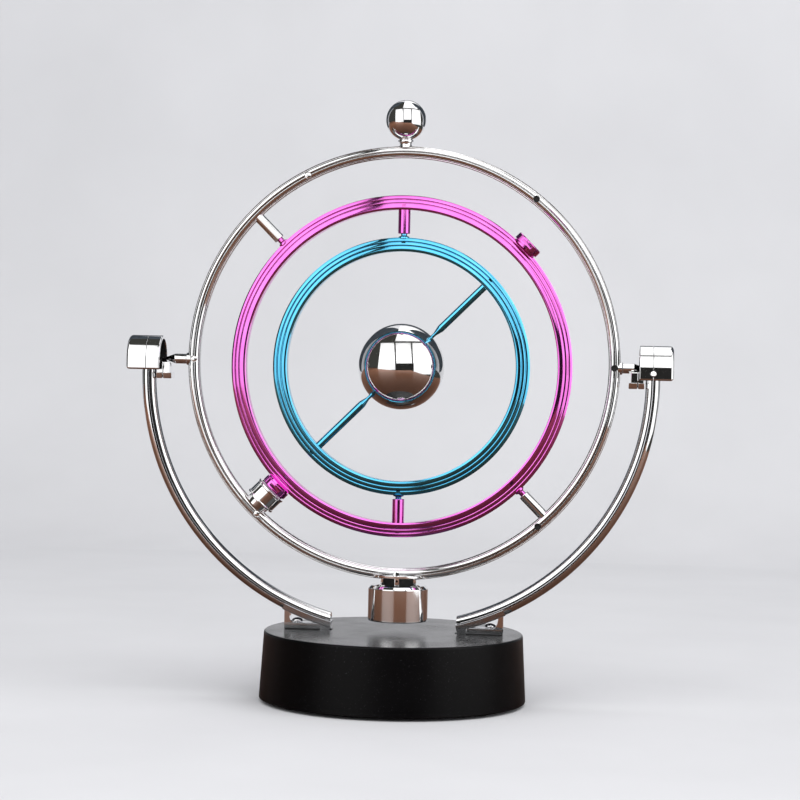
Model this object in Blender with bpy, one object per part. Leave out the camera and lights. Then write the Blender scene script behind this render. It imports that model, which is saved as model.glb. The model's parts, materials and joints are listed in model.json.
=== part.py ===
"""Magnetic desk sculpture: three rings and a ball that turn inside one another above a battery base.

A coil in the base pushes a magnet that hangs from the outer ring, so the ring swings and turns on a
left-right axle between two arms. The middle ring turns inside it on a diagonal axis, the inner ring
turns inside that on an upright axis, and the ball turns on a spindle across the inner ring.

Origin: the middle of the base, on the surface that it stands on. +Z is up and the front faces -Y.
Sizes are in millimetres and become metres where a mesh is made.
"""

import math

import bmesh
import bpy
from mathutils import Vector

MM = 0.001
GAP = 0.3  # clearance between solids that touch

# Base
BASE_BOTTOM_R = 53.4
BASE_TOP_R = 51.8
BASE_UNDERSIDE = 1.3
BASE_TOP = 28.1
BASE_WALL = 2.2
FOOT_H = 1.0
FRONT_FEET = (36.0, -29.0)
REAR_FEET = (33.0, 32.0)
FRONT_BOSSES = (44.0, -10.0)
REAR_BOSSES = (25.0, 38.0)
COVER_R = 50.8
COVER_T = 1.8
TRAY_HALF_X = 30.5
TRAY_FRONT = -36.5
TRAY_REAR = 21.0
TRAY_TOP = 19.4
DOOR_HINGE = (19.4, 2.1)  # y and z of the battery door's hinge line
CELL_R = 7.25
CELL_L = 50.5
CELL_Z = 10.8
SWITCH_Y = 34.0
JACK_Z = 11.9

# Arms
PIVOT = 135.5  # height of the outer ring's axle
HUB = (1.5, 0, PIVOT)  # the outer ring's centre: its axle has end play, and rests towards the right
CORE = (0.8, 0, PIVOT - 1.2)  # the centre that the inner two rings and the ball share
ARM_Z = 129.9  # height of the centre of the arms' arc
ARM_R = 101.0
ARM_HALF_W = 2.95
ARM_HALF_D = 3.2
ARM_END_X = 25.3
CAP_IN = 95.5
CAP_OUT = 109.0
CAP_HALF_Y = 9.2
CAP_BOTTOM = PIVOT - 4.5
CAP_ARC_Z = PIVOT
FOOT_OUT = 43.8
FOOT_SCREW_X = 38.8

# Rings, as outer radius, inner radius and half depth
OUTER_RING = (86.6, 81.9, 2.7)
MIDDLE_RING = (68.3, 62.5, 3.0)
INNER_RING = (51.5, 45.9, 2.8)
SEAM = 0.15  # half the gap between a ring's front and back halves
DIAGONAL = 135.0  # angle of the middle ring's axis, from +X towards +Z
BALL_R = 17.2
BALL_ANGLE = 45.0  # angle of the ball's spindle
TOP_BALL_R = 8.1
TOP_BALL_Z = 97.0  # above the pivot
TOP_BALL_ANGLE = 90.5
CUP_R = 11.9
CUP_BOTTOM = 32.6
CUP_TOP = 46.8
FLANGE_R = 11.0
FLANGE_LOW = 50.2
FLANGE_TOP = 51.6
HOLDER_LOW = 73.3  # the ring magnet holder's mouth, from the outer ring's centre

# Lead
LEAD_R = 1.8
COIL_AT = (-32.0, 77.0)
COIL_MID_R = 20.5
COIL_H = 10.9
PLUG_TO_COIL = [
    (0.0, 84.3, 11.9),
    (0.0, 89.5, 11.6),
    (-1.3, 94.8, 10.8),
    (-5.0, 99.2, 9.8),
    (-10.6, 101.6, 9.1),
    (-16.0, 101.8, 8.9),
    (-19.5, 101.0, 9.0),
]
COIL_TO_USB = [
    (-17.2, 55.0, 1.85),
    (-12.0, 56.2, 1.85),
    (-6.5, 58.6, 1.85),
    (-1.5, 62.0, 1.85),
    (3.0, 66.4, 2.3),
    (6.6, 70.6, 3.3),
    (8.8, 73.3, 4.05),
]
USB_AT = (9.0, 73.5, 4.05)
USB_HEADING = 50.0

COLOURS = {  # colour, metallic, roughness
    "black_matte": ((0.012, 0.012, 0.013), 0.0, 0.5),
    "black_rubber": ((0.015, 0.015, 0.015), 0.0, 0.8),
    "chrome": ((0.86, 0.86, 0.87), 1.0, 0.05),
    "magenta_chrome": ((0.72, 0.10, 0.55), 1.0, 0.08),
    "cyan_chrome": ((0.09, 0.50, 0.72), 1.0, 0.08),
    "steel": ((0.6, 0.6, 0.62), 1.0, 0.25),
    "magnet": ((0.5, 0.5, 0.52), 1.0, 0.3),
    "copper": ((0.7, 0.3, 0.12), 1.0, 0.35),
    "board_green": ((0.02, 0.18, 0.07), 0.0, 0.5),
    "cell_wrap": ((0.02, 0.05, 0.16), 0.0, 0.35),
    "white_plastic": ((0.7, 0.7, 0.68), 0.0, 0.4),
}


# Helpers


def clear_scene():
    for obj in list(bpy.data.objects):
        bpy.data.objects.remove(obj, do_unlink=True)


def finish_of(name):
    """The material of that name, made when it is first asked for."""
    mat = bpy.data.materials.get(name)
    if mat is None:
        colour, metallic, roughness = COLOURS[name]
        mat = bpy.data.materials.new(name)
        mat.use_nodes = True
        shader = mat.node_tree.nodes["Principled BSDF"]
        shader.inputs["Base Color"].default_value = (*colour, 1.0)
        shader.inputs["Metallic"].default_value = metallic
        shader.inputs["Roughness"].default_value = roughness
    return mat


def place(name, bm, finish, at=(0, 0, 0), turn=(0, 0, 0), parent=None):
    """Turn a bmesh into a named object; at is in mm and turn in degrees."""
    bmesh.ops.delete(bm, geom=[v for v in bm.verts if not v.link_faces], context="VERTS")
    bmesh.ops.remove_doubles(bm, verts=bm.verts, dist=1e-6)
    bmesh.ops.recalc_face_normals(bm, faces=bm.faces)
    mesh = bpy.data.meshes.new(name)
    bm.to_mesh(mesh)
    bm.free()
    mesh.shade_smooth()
    mesh.set_sharp_from_angle(angle=math.radians(35))
    obj = bpy.data.objects.new(name, mesh)
    bpy.context.collection.objects.link(obj)
    obj.location = Vector(at) * MM
    obj.rotation_euler = [math.radians(a) for a in turn]
    obj.data.materials.append(finish_of(finish))
    obj.parent = parent
    return obj


def pivot(name, at):
    """An empty that a moving body's pieces hang on, on the body's joint axis."""
    empty = bpy.data.objects.new(name, None)
    bpy.context.collection.objects.link(empty)
    empty.location = Vector(at) * MM
    return empty


def guide(obj):
    """Hide an object that only cuts or joins another."""
    obj.hide_render = True
    obj.display_type = "WIRE"
    return obj


def combine(obj, other, operation):
    mod = obj.modifiers.new(operation.lower(), "BOOLEAN")
    mod.operation = operation
    mod.object = guide(other)
    mod.solver = "EXACT"


def soften(obj, width, segments=2):
    mod = obj.modifiers.new("soften", "BEVEL")
    mod.width = width * MM
    mod.segments = segments
    mod.limit_method = "ANGLE"
    mod.angle_limit = math.radians(40)


def revolve(outline, steps=48, start=0.0, sweep=360.0):
    """Turn a closed outline of (radius, height) points about local Z."""
    bm = bmesh.new()
    full = sweep >= 360.0
    columns = steps if full else steps + 1
    angles = [math.radians(start + sweep * k / steps) for k in range(columns)]
    rings = []
    for radius, height in outline:
        if radius == 0:
            rings.append([bm.verts.new((0, 0, height * MM))] * columns)
        else:
            rings.append(
                [
                    bm.verts.new((radius * MM * math.cos(a), radius * MM * math.sin(a), height * MM))
                    for a in angles
                ]
            )
    for i, ring in enumerate(rings):
        j = (i + 1) % len(rings)
        following = rings[j]
        (r_i, h_i), (r_j, h_j) = outline[i], outline[j]
        if full and h_i == h_j and 0 in (r_i, r_j) and r_i != r_j:  # a flat end is one face
            bm.faces.new(ring if r_i else following)
            continue
        for k in range(steps):
            n = (k + 1) % columns
            corners = list(dict.fromkeys([ring[k], ring[n], following[n], following[k]]))
            if len(corners) > 2:
                bm.faces.new(corners)
    if not full:
        bm.faces.new([ring[0] for ring in rings])
        bm.faces.new([ring[-1] for ring in reversed(rings)])
    return bm


def loft(sections):
    """Join sections, each a loop of (x, y, z) points in mm, and cap both ends."""
    bm = bmesh.new()
    loops = [[bm.verts.new(Vector(p) * MM) for p in section] for section in sections]
    for lower, upper in zip(loops, loops[1:]):
        for k in range(len(lower)):
            j = (k + 1) % len(lower)
            bm.faces.new([lower[k], lower[j], upper[j], upper[k]])
    bm.faces.new(loops[0])
    bm.faces.new(list(reversed(loops[-1])))
    return bm


def block(low, high):
    """A box between two corners in mm."""
    (x0, y0, z0), (x1, y1, z1) = low, high
    return loft([[(x0, y0, z), (x1, y0, z), (x1, y1, z), (x0, y1, z)] for z in (z0, z1)])


def cylinder(radius, length, steps=24, start=0.0):
    """An upright cylinder that starts at local height start."""
    return revolve([(0, start), (radius, start), (radius, start + length), (0, start + length)], steps)


def sphere_outline(radius, centre=0.0, first=-90.0, last=90.0, points=12):
    """(radius, height) points along a sphere's side, from angle first to last."""
    return [
        (
            max(0.0, round(radius * math.cos(math.radians(a)), 6)),
            centre + radius * math.sin(math.radians(a)),
        )
        for a in (first + (last - first) * k / (points - 1) for k in range(points))
    ]


def along(angle):
    """The turn that lays local Z along that angle in the rings' plane."""
    return (0, 90 - angle, 0)


def mirrored(bm, side):
    """The same shape on the left for side -1; the face directions are put right by place."""
    for v in bm.verts:
        v.co.x *= side
    return bm


RING_TURN = (90, 0, 0)  # lays a revolved ring in the XZ plane, its height towards the front
REAR_TURN = (-90, 0, 0)  # lays local Z along +Y


# Base


def base_shell():
    wall_in = BASE_TOP_R - BASE_WALL
    outline = [
        (0, BASE_TOP),
        (BASE_TOP_R - 1.0, BASE_TOP),
        (BASE_TOP_R - 0.3, BASE_TOP - 0.25),
        (BASE_TOP_R, BASE_TOP - 0.9),
        (BASE_BOTTOM_R, BASE_UNDERSIDE),
        (BASE_BOTTOM_R - BASE_WALL, BASE_UNDERSIDE),
        (wall_in, BASE_TOP - BASE_WALL),
        (0, BASE_TOP - BASE_WALL),
    ]
    shell = place("base_shell", revolve(outline, 48), "black_matte")
    for x, y in boss_places():
        boss = place("boss", cylinder(2.6, BASE_TOP - 1.2 - 3.4, 16, 3.4), "black_matte", (x, y, 0))
        combine(shell, boss, "UNION")
    for x, y in boss_places():
        pilot = place("pilot_hole", cylinder(1.3, 14.0, 12, 2.0), "black_matte", (x, y, 0))
        combine(shell, pilot, "DIFFERENCE")
    for side in (-1, 1):
        slot = block((24.6, -2.7, 24.0), (30.8, 2.7, 30.0))
        slot = place("tab_slot", mirrored(slot, side), "black_matte")
        combine(shell, slot, "DIFFERENCE")
        hole = cylinder(1.4, 8.0, 16, 22.0)
        hole = place("foot_screw_hole", hole, "black_matte", (side * FOOT_SCREW_X, 0, 0))
        combine(shell, hole, "DIFFERENCE")
    inlet = place("jack_hole", cylinder(4.7, 8.0, 24), "black_matte", (0, 47.5, JACK_Z), REAR_TURN)
    combine(shell, inlet, "DIFFERENCE")


def boss_places():
    return [(s * x, y) for x, y in (FRONT_BOSSES, REAR_BOSSES) for s in (-1, 1)]


def foot_places():
    return [(s * x, y) for x, y in (FRONT_FEET, REAR_FEET) for s in (-1, 1)]


def bottom_cover():
    """The base's underside, with the battery tray standing on it."""
    top = BASE_UNDERSIDE + COVER_T
    cover = place("base_bottom_cover", cylinder(COVER_R, COVER_T, 40, BASE_UNDERSIDE), "black_matte")
    wall = 1.2
    tray = block(
        (-TRAY_HALF_X - wall, TRAY_FRONT - wall, top - 0.5),
        (TRAY_HALF_X + wall, TRAY_REAR + wall, TRAY_TOP),
    )
    combine(cover, place("tray_outside", tray, "black_matte"), "UNION")
    inside = block((-TRAY_HALF_X, TRAY_FRONT, 0), (TRAY_HALF_X, TRAY_REAR, TRAY_TOP - wall))
    combine(cover, place("tray_inside", inside, "black_matte"), "DIFFERENCE")
    for x, y in boss_places():
        bore = [(0, 0), (2.7, 0), (2.7, 2.4), (1.3, 2.4), (1.3, 5), (0, 5)]
        combine(cover, place("screw_bore", revolve(bore, 16), "black_matte", (x, y, 0)), "DIFFERENCE")
    slot = block((-2.6, SWITCH_Y - 1.5, 0), (2.6, SWITCH_Y + 1.5, 5))
    combine(cover, place("switch_slot", slot, "black_matte"), "DIFFERENCE")


def feet_and_screws():
    for number, (x, y) in enumerate(foot_places(), 1):
        outline = [(0, 0), (3.1, 0), (3.5, 0.3), (3.5, FOOT_H), (0, FOOT_H)]
        place(f"rubber_foot_{number}", revolve(outline, 20), "black_rubber", (x, y, 0))
    for number, (x, y) in enumerate(boss_places(), 1):
        outline = [(0, 1.4), (2.3, 1.4), (2.3, 2.1), (0.9, 2.1), (0.9, 13.0), (0, 13.6)]
        place(f"cover_screw_{number}", revolve(outline, 16), "steel", (x, y, 0))


def batteries():
    """Four AA cells side by side, every second one turned round."""
    outline = [
        (0, 0),
        (4.6, 0),
        (4.6, 0.4),
        (CELL_R, 0.8),
        (CELL_R, CELL_L - 1.4),
        (2.7, CELL_L - 1.2),
        (2.7, CELL_L),
        (0, CELL_L),
    ]
    rear = 17.0
    for number in range(4):
        x = (number - 1.5) * 15.0
        if number % 2:
            at, turn = (x, rear, CELL_Z), RING_TURN
        else:
            at, turn = (x, rear - CELL_L, CELL_Z), REAR_TURN
        place(f"battery_{number + 1}", revolve(outline, 14), "cell_wrap", at, turn)
    for name, y, side in (("front", TRAY_FRONT + GAP, 1), ("rear", TRAY_REAR - GAP, -1)):
        strip = loft(
            [
                [(-29, y, z), (29, y, z), (29, y + side * 0.5, z), (-29, y + side * 0.5, z)]
                for z in (5.5, 16.0)
            ]
        )
        strip = place(f"battery_contact_{name}", strip, "steel")
        for k in range(4):
            spring = [(0, 0), (3.4, 0), (2.2, 2.0), (0, 2.0)]
            at = ((k - 1.5) * 15.0, y + side * 0.3, CELL_Z)
            turn = REAR_TURN if side > 0 else RING_TURN
            combine(strip, place("contact_spring", revolve(spring, 12), "steel", at, turn), "UNION")


def drive_coil():
    """The bobbin and its winding, under the middle of the base's top."""
    low, high = TRAY_TOP + GAP, BASE_TOP - BASE_WALL - GAP
    outline = [
        (2.2, low),
        (11.0, low),
        (11.0, low + 0.8),
        (4.0, low + 0.8),
        (4.0, high - 0.8),
        (11.0, high - 0.8),
        (11.0, high),
        (2.2, high),
    ]
    place("coil_bobbin", revolve(outline, 24), "white_plastic")
    r0, r1, z0, z1 = 4.0 + GAP, 10.4, low + 0.8 + GAP, high - 0.8 - GAP
    winding = [(r0, z0), (r1, z0), (r1 + 0.3, (z0 + z1) / 2), (r1, z1), (r0, z1)]
    place("coil_winding", revolve(winding, 24), "copper")


def electronics():
    board = place("circuit_board", block((-15, 24, 6.0), (15, 46, 7.6)), "board_green")
    transistor = place("transistor", block((-12, 28, 7.4), (-7.6, 31.6, 12.0)), "black_matte")
    capacitor = place("capacitor", cylinder(3.1, 7.4, 20, 7.4), "black_matte", (9.5, 30, 0))
    combine(board, transistor, "UNION")
    combine(board, capacitor, "UNION")
    jack = place("dc_jack", block((-4.5, 37.4, 7.6 + GAP), (4.5, 49.9, 15.9)), "black_matte")
    bore = place("jack_bore", cylinder(2.15, 12.0, 20), "black_matte", (0, 40.0, JACK_Z), REAR_TURN)
    pin = place("jack_pin", cylinder(0.6, 9.5, 12), "steel", (0, 39.5, JACK_Z), REAR_TURN)
    combine(jack, bore, "DIFFERENCE")
    combine(jack, pin, "UNION")
    body = block((-4.3, SWITCH_Y - 1.9, 3.4), (4.3, SWITCH_Y + 1.9, 5.7))
    place("power_switch", body, "black_matte")
    slider = place(
        "switch_slider",
        block((-1.2, -1.1, -0.8), (1.2, 1.1, 0.8)),
        "white_plastic",
        (-1.0, SWITCH_Y, 2.3),
    )
    soften(slider, 0.2, 1)


def battery_door():
    """The door is hinged along its rear edge and opens downwards."""
    y, z = DOOR_HINGE
    hinge = pivot("battery_door_hinge", (0, y, z))
    half_x = TRAY_HALF_X - GAP
    low = (-half_x, TRAY_FRONT + GAP - y, BASE_UNDERSIDE - z)
    high = (half_x, 20.2 - y, BASE_UNDERSIDE + 1.6 - z)
    door = place("battery_door", block(low, high), "black_matte", parent=hinge)
    notch = place("finger_notch", cylinder(6.0, 2.0, 24), "black_matte", (0, -48.0, -2.2), parent=hinge)
    combine(door, notch, "DIFFERENCE")


# Arms


def arm_section(side):
    """Half of the arm's oval section: side 1 is the half away from the centre of the arc."""
    arc = []
    for k in range(6):
        t = math.radians(-80 + 160 * k / 5)
        arc.append((ARM_R + side * ARM_HALF_W * math.cos(t), ARM_HALF_D * math.sin(t)))
    flat = ARM_R + side * SEAM
    return [(flat, -2.7), *arc, (flat, 2.7)]


def arch(half_y, bottom, x, inset=0.0, points=9):
    """The bearing cap's section in the plane at x: straight sides under a half-round top."""
    radius = half_y - inset
    low = bottom + inset
    top = [
        (x, -radius * math.cos(a), CAP_ARC_Z + radius * math.sin(a))
        for a in (math.pi * k / (points - 1) for k in range(points))
    ]
    return [(x, -radius, low), *top, (x, radius, low)]


def arm(side):
    """One C-shaped arm: an outer half with the foot, an inner half, a bearing seat and a screw."""
    word = "left" if side < 0 else "right"
    seam_out, seam_in = ARM_R + SEAM, ARM_R - SEAM
    first, last = -78.0, 1.3

    def swept(section_side):
        sweep = revolve(arm_section(section_side), 20, first, last - first)
        for v in sweep.verts:  # from the local XY plane into the XZ plane
            x, y, z = v.co
            v.co = (side * x, -z, y + ARM_Z * MM)
        return sweep

    outer = place(f"{word}_arm_outer_half", swept(1), "chrome")
    inner = place(f"{word}_arm_inner_half", swept(-1), "chrome")

    sections = [(seam_out, 0), (CAP_OUT - 1.5, 0), (CAP_OUT - 0.5, 0.45), (CAP_OUT, 1.5)]
    cap = loft([arch(CAP_HALF_Y, CAP_BOTTOM, x, inset) for x, inset in sections])
    combine(outer, place("outer_cap", mirrored(cap, side), "chrome"), "UNION")
    hollow = [arch(CAP_HALF_Y - 1.3, CAP_BOTTOM + 1.3, x) for x in (seam_out - 1, CAP_OUT - 1.5)]
    combine(outer, place("outer_cap_hollow", mirrored(loft(hollow), side), "chrome"), "DIFFERENCE")

    cap = loft([arch(CAP_HALF_Y, CAP_BOTTOM, x) for x in (CAP_IN, seam_in)])
    combine(inner, place("inner_cap", mirrored(cap, side), "chrome"), "UNION")
    hollow = [arch(CAP_HALF_Y - 1.3, CAP_BOTTOM + 1.3, x) for x in (CAP_IN - 1, seam_in + 1)]
    combine(inner, place("inner_cap_hollow", mirrored(loft(hollow), side), "chrome"), "DIFFERENCE")
    open_floor = block((CAP_IN - 1, -CAP_HALF_Y + 1.3, CAP_BOTTOM - 1), (97.9, CAP_HALF_Y - 1.3, PIVOT))
    combine(inner, place("inner_cap_floor_gap", mirrored(open_floor, side), "chrome"), "DIFFERENCE")

    foot_pieces = (
        ("foot_plate", (ARM_END_X + 0.1, -3.2, BASE_TOP + GAP), (FOOT_OUT, 3.2, 30.8)),
        ("foot_wall", (41.6, -3.2, BASE_TOP + GAP + 0.5), (FOOT_OUT, 3.2, 36.6)),
        ("foot_leg", (ARM_END_X + 0.1, -3.2, 30.0), (30.4, 3.2, 31.5)),
        ("foot_tab", (25.6, -2.2, 21.5), (30.2, 2.2, 29.5)),
    )
    for name, low, high in foot_pieces:
        combine(outer, place(name, mirrored(block(low, high), side), "chrome"), "UNION")
    hole = cylinder(1.4, 6.0, 16, 27.0)
    hole = place("foot_hole", hole, "chrome", (side * FOOT_SCREW_X, 0, 0))
    combine(outer, hole, "DIFFERENCE")
    for half in (outer, inner):
        end = mirrored(block((5.0, -8, 20.0), (ARM_END_X, 8, 45.0)), side)
        combine(half, place("arm_end_cut", end, "chrome"), "DIFFERENCE")

    seat_low, seat_mid, seat_top = PIVOT - 8.0, PIVOT - 5.6, PIVOT - 1.4
    groove = PIVOT - 3.4
    outline = [
        (-3.6, seat_mid - 0.5),
        (3.6, seat_mid - 0.5),
        (3.6, seat_top),
        (2.0, seat_top),
        (0, groove),
        (-2.0, seat_top),
        (-3.6, seat_top),
    ]
    seat = loft([[(x, y, z) for y, z in outline] for x in (92.4, 97.4)])
    seat = place(f"{word}_pivot_seat", mirrored(seat, side), "chrome")
    lip = block((91.4, -4.4, seat_low), (97.6, 4.4, seat_mid))
    combine(seat, place("seat_lip", mirrored(lip, side), "chrome"), "UNION")

    head = BASE_TOP + GAP + 2.4 + GAP
    outline = [
        (0, 24.0),
        (1.0, 24.5),
        (1.0, head),
        (2.2, head),
        (2.1, head + 0.5),
        (1.5, head + 1.1),
        (0.7, head + 1.4),
        (0, head + 1.45),
    ]
    place(f"{word}_foot_screw", revolve(outline, 20), "steel", (side * FOOT_SCREW_X, 0, 0))


# Rings and ball


def ring_half(ring, beads, face):
    """Half of a ring's section, face 1 for the front: plain sides and a front of raised beads."""
    r_out, r_in, half_depth = ring
    width = (r_out - r_in) / beads
    shoulder = half_depth * 0.62
    outline = [(r_in, SEAM), (r_in, shoulder)]
    for k in range(beads):
        crest = r_in + (k + 0.5) * width
        outline.append((crest, half_depth))
        if k < beads - 1:
            outline.append((crest + width / 2, half_depth - 0.6))
    outline += [(r_out, shoulder), (r_out, SEAM)]
    return [(r, face * h) for r, h in outline]


def ring(name, size, beads, finish, hub, steps):
    """The front and back halves of a ring."""
    halves = []
    for word, face in (("front", 1), ("back", -1)):
        mesh = revolve(ring_half(size, beads, face), steps)
        halves.append(place(f"{name}_{word}", mesh, finish, turn=RING_TURN, parent=hub))
    return halves


def pins(halves, angle, inner_r, outer_r, radius, finish, hub):
    """Two pins moulded on the back half, with room for them cut in the front half."""
    front, back = halves
    for a in (angle, angle + 180):
        pin = cylinder(radius, outer_r - inner_r, 16, inner_r)
        pin = place("pin", pin, finish, turn=along(a), parent=hub)
        combine(back, pin, "UNION")
    room = cylinder(radius + GAP, 2 * outer_r, 16, -outer_r)
    combine(front, place("pin_room", room, finish, turn=along(angle), parent=hub), "DIFFERENCE")


def core_offset(angle):
    """How far the core's centre lies from the outer ring's, along that angle."""
    a = math.radians(angle)
    return (CORE[0] - HUB[0]) * math.cos(a) + (CORE[2] - HUB[2]) * math.sin(a)


def outer_ring():
    hub = pivot("outer_ring_pivot", HUB)
    front, back = ring("outer_ring", OUTER_RING, 2, "chrome", hub, 48)
    r_out, r_in, half_depth = OUTER_RING
    for half, first in ((front, 180), (back, 0)):  # the pad over the magnet cup, half on each
        pad = [(0, FLANGE_LOW), (FLANGE_R, FLANGE_LOW), (FLANGE_R, FLANGE_TOP), (0, FLANGE_TOP)]
        pad = revolve([(r, z - PIVOT) for r, z in pad], 16, first, 180)
        shift = -SEAM - 0.05 if half is front else SEAM + 0.05
        combine(half, place("cup_pad", pad, "chrome", (0, shift, 0), parent=hub), "UNION")
    for word, angle in (("right", 0), ("left", 180)):
        outline = [(0, r_out + GAP), (2.0, r_out + GAP), (2.0, 92.0), (0.6, 95.8), (0, 95.9)]
        place(f"{word}_axle", revolve(outline, 20), "chrome", turn=along(angle), parent=hub)
    core = pivot("middle_ring_axle_line", CORE)
    for word, angle in (("upper_left", DIAGONAL), ("lower_right", DIAGONAL + 180)):
        end = r_in - GAP - core_offset(angle)
        outline = [(0, 72.2), (1.5, 72.2), (1.5, 70.7), (2.1, 70.7), (2.1, end), (0, end)]
        place(f"{word}_socket", revolve(outline, 20), "chrome", turn=along(angle), parent=core)

    neck = r_out + GAP
    outline = [(0, neck), (2.2, neck), (2.6, neck + 1.5), (2.9, neck + 1.6), (2.9, neck + 2.3)]
    first = -math.degrees(math.acos(2.6 / TOP_BALL_R))
    outline += sphere_outline(TOP_BALL_R, TOP_BALL_Z, first, 90, 9)
    place("top_ball", revolve(outline, 24), "chrome", turn=along(TOP_BALL_ANGLE), parent=hub)

    low, top = CUP_BOTTOM - PIVOT, CUP_TOP - PIVOT
    neck_top = FLANGE_LOW - GAP - PIVOT
    outline = [
        (10.3, low),
        (CUP_R - 0.4, low),
        (CUP_R, low + 0.4),
        (CUP_R, top - 1.0),
        (CUP_R - 0.9, top),
        (6.8, top),
        (6.8, neck_top),
        (0, neck_top),
        (0, low + 9.4),
        (10.3, low + 9.4),
    ]
    cup = place("drive_magnet_cup", revolve(outline, 36), "chrome", parent=hub)
    room_y = half_depth + GAP
    room = block((-12, -room_y, -(r_out + GAP)), (12, room_y, neck_top + 1))
    combine(cup, place("ring_room", room, "chrome", parent=hub), "DIFFERENCE")
    place("drive_magnet", cylinder(9.9, 8.0, 32, low + 0.8), "magnet", parent=hub)

    low = HOLDER_LOW
    outline = [
        (5.3, low),
        (6.1, low),
        (6.45, low + 0.4),
        (6.45, low + 6.3),
        (6.1, low + 6.7),
        (5.0, low + 6.7),
        (5.0, r_in - GAP),
        (0, r_in - GAP),
        (0, low + 5.5),
        (5.3, low + 5.5),
    ]
    place("ring_magnet_holder", revolve(outline, 24), "chrome", turn=along(225), parent=hub)
    place("ring_magnet", cylinder(5.0, 5.0, 24, low + 0.2), "magnet", turn=along(225), parent=hub)


def middle_ring():
    hub = pivot("middle_ring_pivot", CORE)
    halves = ring("middle_ring", MIDDLE_RING, 3, "magenta_chrome", hub, 40)
    r_out, r_in, _ = MIDDLE_RING
    pins(halves, DIAGONAL, r_out - 1.5, 71.9, 1.2, "magenta_chrome", hub)
    for number, angle in enumerate((45, 225), 1):
        low = r_out + GAP
        outline = [
            (4.6, low),
            (5.7, low),
            (5.7, low + 1.6),
            (5.2, low + 2.5),
            (4.2, low + 2.9),
            (0, low + 2.9),
            (0, low + 1.9),
            (4.6, low + 1.9),
        ]
        name = f"middle_ring_magnet_cap_{number}"
        place(name, revolve(outline, 24), "magenta_chrome", turn=along(angle), parent=hub)
        disc = cylinder(4.3, 1.5, 20, low + 0.1)
        place(f"middle_ring_magnet_{number}", disc, "magnet", turn=along(angle), parent=hub)
    for word, angle in (("upper", 90), ("lower", 270)):
        outline = [
            (0, 54.6),
            (1.5, 54.6),
            (1.5, 53.0),
            (2.4, 53.0),
            (2.4, r_in - GAP),
            (0, r_in - GAP),
        ]
        name = f"middle_ring_{word}_socket"
        place(name, revolve(outline, 20), "magenta_chrome", turn=along(angle), parent=hub)


def inner_ring():
    hub = pivot("inner_ring_pivot", CORE)
    halves = ring("inner_ring", INNER_RING, 3, "cyan_chrome", hub, 40)
    r_out, r_in, _ = INNER_RING
    pins(halves, 90, r_out - 1.5, 54.3, 1.2, "cyan_chrome", hub)
    rod, tip = r_in - GAP, 18.6
    outline = [
        (0, -rod),
        (1.3, -rod),
        (1.3, -tip - 3.0),
        (0.7, -tip),
        (0.7, tip),
        (1.3, tip + 3.0),
        (1.3, rod),
        (0, rod),
    ]
    place("ball_spindle", revolve(outline, 16), "cyan_chrome", turn=along(BALL_ANGLE), parent=hub)


def centre_ball():
    """Two hollow half balls, front and back, with room for the spindle through both."""
    hub = pivot("centre_ball_pivot", CORE)
    wall = 1.6
    first = math.degrees(math.asin(SEAM / BALL_R))
    first_in = math.degrees(math.asin(SEAM / (BALL_R - wall)))
    for word, face in (("front", 1), ("back", -1)):
        outside = sphere_outline(BALL_R, 0, first, 90, 7)
        inside = sphere_outline(BALL_R - wall, 0, first_in, 90, 4)
        outline = [(r, face * h) for r, h in outside + inside[::-1]]
        half = place(f"centre_ball_{word}", revolve(outline, 24), "chrome", turn=RING_TURN, parent=hub)
        room = cylinder(0.7 + GAP, 40, 10, -20)
        room = place("spindle_room", room, "chrome", turn=along(BALL_ANGLE), parent=hub)
        combine(half, room, "DIFFERENCE")


# Lead


def smooth_route(points, spacing):
    """Points about that far apart on a smooth curve through the given points."""
    chosen = [Vector(p) for p in points]
    before, after = 2 * chosen[0] - chosen[1], 2 * chosen[-1] - chosen[-2]
    padded = [before, *chosen, after]
    route = []
    for a, b, c, d in zip(padded, padded[1:], padded[2:], padded[3:]):
        count = max(1, round((c - b).length / spacing))
        for k in range(count):
            t = k / count
            route.append(
                b
                + 0.5 * t * (c - a)
                + t * t * (a - 2.5 * b + 2 * c - 0.5 * d)
                + t * t * t * (1.5 * b - 0.5 * a - 1.5 * c + 0.5 * d)
            )
    return [*route, chosen[-1]]


def lead_run(name, points):
    curve = bpy.data.curves.new(name, "CURVE")
    curve.dimensions = "3D"
    spline = curve.splines.new("POLY")
    route = smooth_route(points, 3.6)
    spline.points.add(len(route) - 1)
    for point, at in zip(spline.points, route):
        point.co = (*(at * MM), 1.0)
    curve.bevel_depth = LEAD_R * MM
    curve.bevel_resolution = 2
    curve.use_fill_caps = True
    obj = bpy.data.objects.new(name, curve)
    bpy.context.collection.objects.link(obj)
    obj.data.materials.append(finish_of("black_rubber"))


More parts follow.
